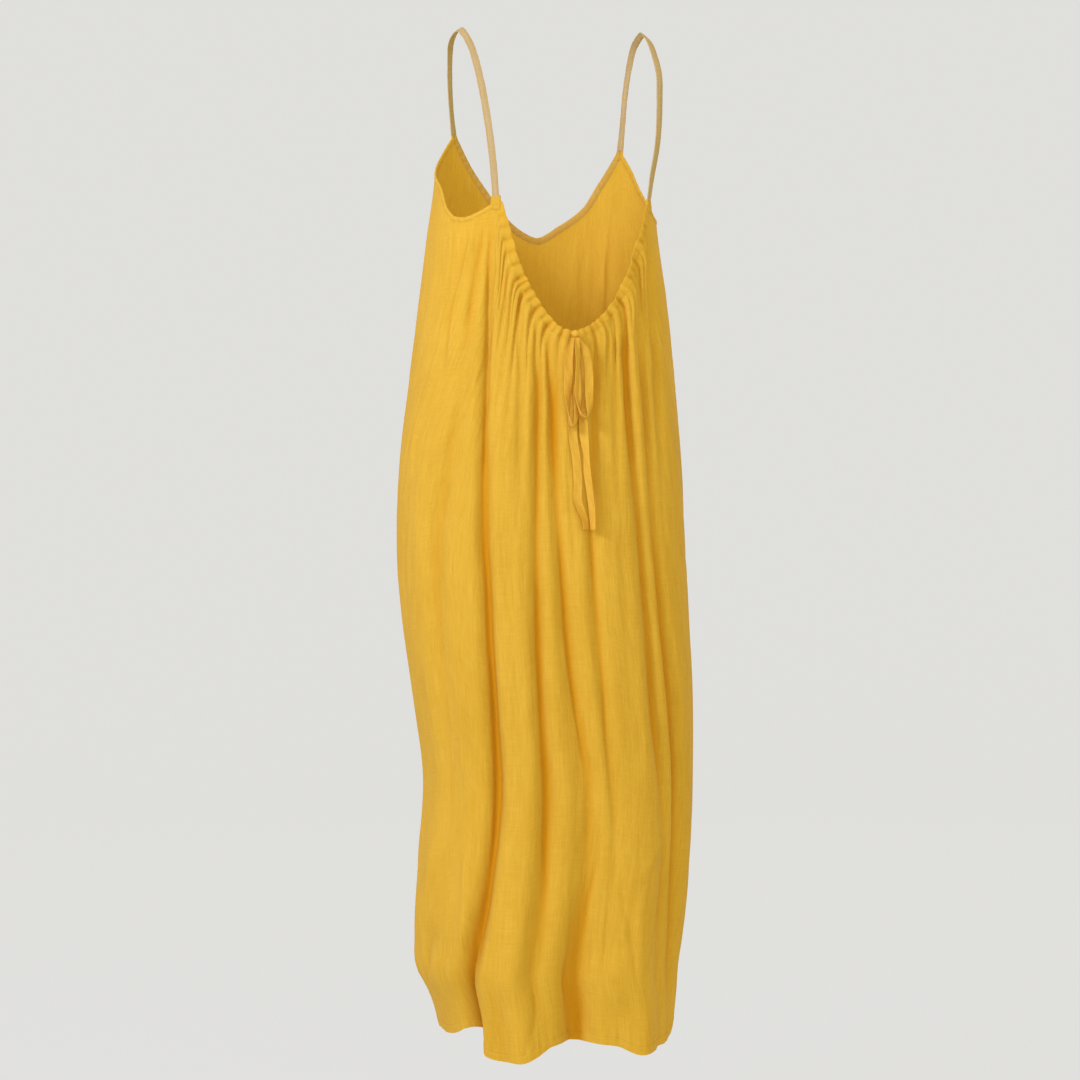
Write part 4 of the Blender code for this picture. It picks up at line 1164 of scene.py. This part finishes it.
def build_stage():
    """A round seamless bowl of pale paper: floor, cove and wall in one turned profile."""
    bend = [
        (BOWL_RADIUS - BOWL_COVE + BOWL_COVE * math.sin(turn), 0.0,
         FLOOR_HEIGHT + BOWL_COVE * (1 - math.cos(turn)))
        for turn in np.linspace(0, math.pi / 2, 17)
    ]
    profile = [(0.0, 0.0, FLOOR_HEIGHT), *bend, (BOWL_RADIUS, 0.0, BOWL_TOP)]
    mesh = bpy.data.meshes.new("studio")
    mesh.from_pydata(profile, [(k, k + 1) for k in range(len(profile) - 1)], [])
    mesh.materials.append(stage_finish())
    bowl = shown("studio", mesh)
    screw = bowl.modifiers.new("turned", "SCREW")
    screw.steps = 96
    screw.render_steps = 96
    screw.use_smooth_shade = True
    screw.use_normal_flip = True
    bowl.visible_diffuse = False
    bowl.visible_transmission = False


def area_light(name, place, target, size, power, colour):
    light = bpy.data.lights.new(name, "AREA")
    light.shape = "DISK"
    light.size = size
    light.energy = power
    light.color = colour
    lamp = shown(name, light)
    lamp.location = place
    lamp.rotation_euler = (Vector(target) - Vector(place)).to_track_quat("-Z", "Y").to_euler()
    lamp.visible_camera = False


def build_lights():
    world = bpy.data.worlds.new("studio_air")
    world.use_nodes = True
    feed(world.node_tree.nodes["Background"], {"Color": (1.0, 0.91, 0.44, 1.0), "Strength": 0.78})
    bpy.context.scene.world = world
    area_light("key", (2.8, 1.8, 1.0), (0, 0, -0.65), 1.0, 64.0, (0.98, 1.0, 1.60))
    area_light("fill", (0.5, 3.5, 0.5), (0, 0, -0.65), 2.2, 34.0, (0.99, 1.0, 1.3))
    area_light("counter", (-2.2, -2.6, 1.4), (0, 0, -0.65), 1.8, 16.0, (1.0, 1.0, 0.97))


# --- the dress

def build_dress():
    # The third colour of each gauze is the shade painted in its folds, the fourth that of the light through
    # it
    gauze_cloth = gauze("gauze", (0.74, 0.450, 0.030), (0.87, 0.570, 0.062), (0.74, 0.355, 0.002),
                        (0.80, 0.62, 0.14), 0.00062, 1.0)
    trim_cloth = gauze("gauze_trim", (0.50, 0.37, 0.17), (0.61, 0.47, 0.25), (0.5, 0.34, 0.12),
                       (0.6, 0.45, 0.20), 0.00052, 0.35, 0.2)
    edge_cloth = gauze("gauze_edge", (0.60, 0.365, 0.050), (0.71, 0.45, 0.085), (0.5, 0.28, 0.03),
                       (0.65, 0.45, 0.08), 0.00052, 0.35, 0.2)
    tie_cloth = gauze("gauze_tie", (0.78, 0.47, 0.040), (0.90, 0.59, 0.08), (0.84, 0.40, 0.01),
                      (0.80, 0.55, 0.08), 0.00052, 0.5)
    thread = thread_finish()

    for node, route in TIES.items():
        tie(node, route, tie_cloth)
    knot(tie_cloth)

    front_left = stitched(FRONT_ARMHOLE_LEFT, FRONT_ARMHOLE_STEPS)
    front_neck = stitched(FRONT_NECK, FRONT_NECK_STEPS)
    front_right = stitched(FRONT_ARMHOLE_RIGHT, FRONT_ARMHOLE_STEPS)
    back_left = stitched(BACK_ARMHOLE_LEFT, BACK_ARMHOLE_LEFT_STEPS)
    scoop = stitched(BACK_SCOOP, BACK_SCOOP_STEPS)
    back_right = stitched(BACK_ARMHOLE_RIGHT, BACK_ARMHOLE_RIGHT_STEPS)

    edge = joined(back_left, scoop, back_right)
    along_scoop = (np.arange(len(edge[0])) - BACK_ARMHOLE_LEFT_STEPS) / BACK_SCOOP_STEPS
    scoop_length = run_along(drape(*scoop))[-1]
    from_corner = np.minimum(along_scoop, 1 - along_scoop) * scoop_length
    lead = SQUARE_LEAD * ease(from_corner / LEAD_CALM)
    hem_lines = panel("back_panel", edge, 180, lead, BACK_CREASES, True,
                      gauze_cloth)
    edge = joined(front_left, front_neck, front_right)
    hem_lines += panel("front_panel", edge, -180, np.zeros(len(edge[0])),
                       FRONT_CREASES, False, gauze_cloth)
    stitches("hem_stitches", hem_lines, thread, "cloth")

    bound = binding("neck_binding", front_neck, BINDING_WIDTH, edge_cloth)
    armhole_left = joined((front_left[0][::-1], front_left[1][::-1]), back_left)
    armhole_right = joined(front_right, (back_right[0][::-1] - 360, back_right[1][::-1]))
    for side, line in (("left", armhole_left), ("right", armhole_right)):
        bound += binding("armhole_binding_" + side, line, ARMHOLE_BINDING_WIDTH, gauze_cloth)
    casing("back_casing", scoop, gauze_cloth)
    for side, end in (("left", 0), ("right", -1)):
        casing_end("casing_end_" + side, BACK_SCOOP[end], gauze_cloth)
    for side, end in (("left", 0), ("right", -1)):
        node = "strap_" + side
        route = (strap_end(FRONT_NECK[end]), *STRAPS[node], strap_end(BACK_SCOOP[end]))
        bound += strap(node, route, trim_cloth)
    stitches("edge_stitches", bound, thread, "trim")


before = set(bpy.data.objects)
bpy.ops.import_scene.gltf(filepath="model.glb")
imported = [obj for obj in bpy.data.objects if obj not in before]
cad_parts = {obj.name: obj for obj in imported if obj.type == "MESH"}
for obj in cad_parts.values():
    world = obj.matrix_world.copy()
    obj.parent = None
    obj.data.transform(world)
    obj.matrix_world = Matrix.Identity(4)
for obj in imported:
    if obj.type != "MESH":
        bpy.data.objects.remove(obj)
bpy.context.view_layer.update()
bpy.context.scene.view_settings.view_transform = "Standard"
build_camera()
build_dress()
build_stage()
build_lights()
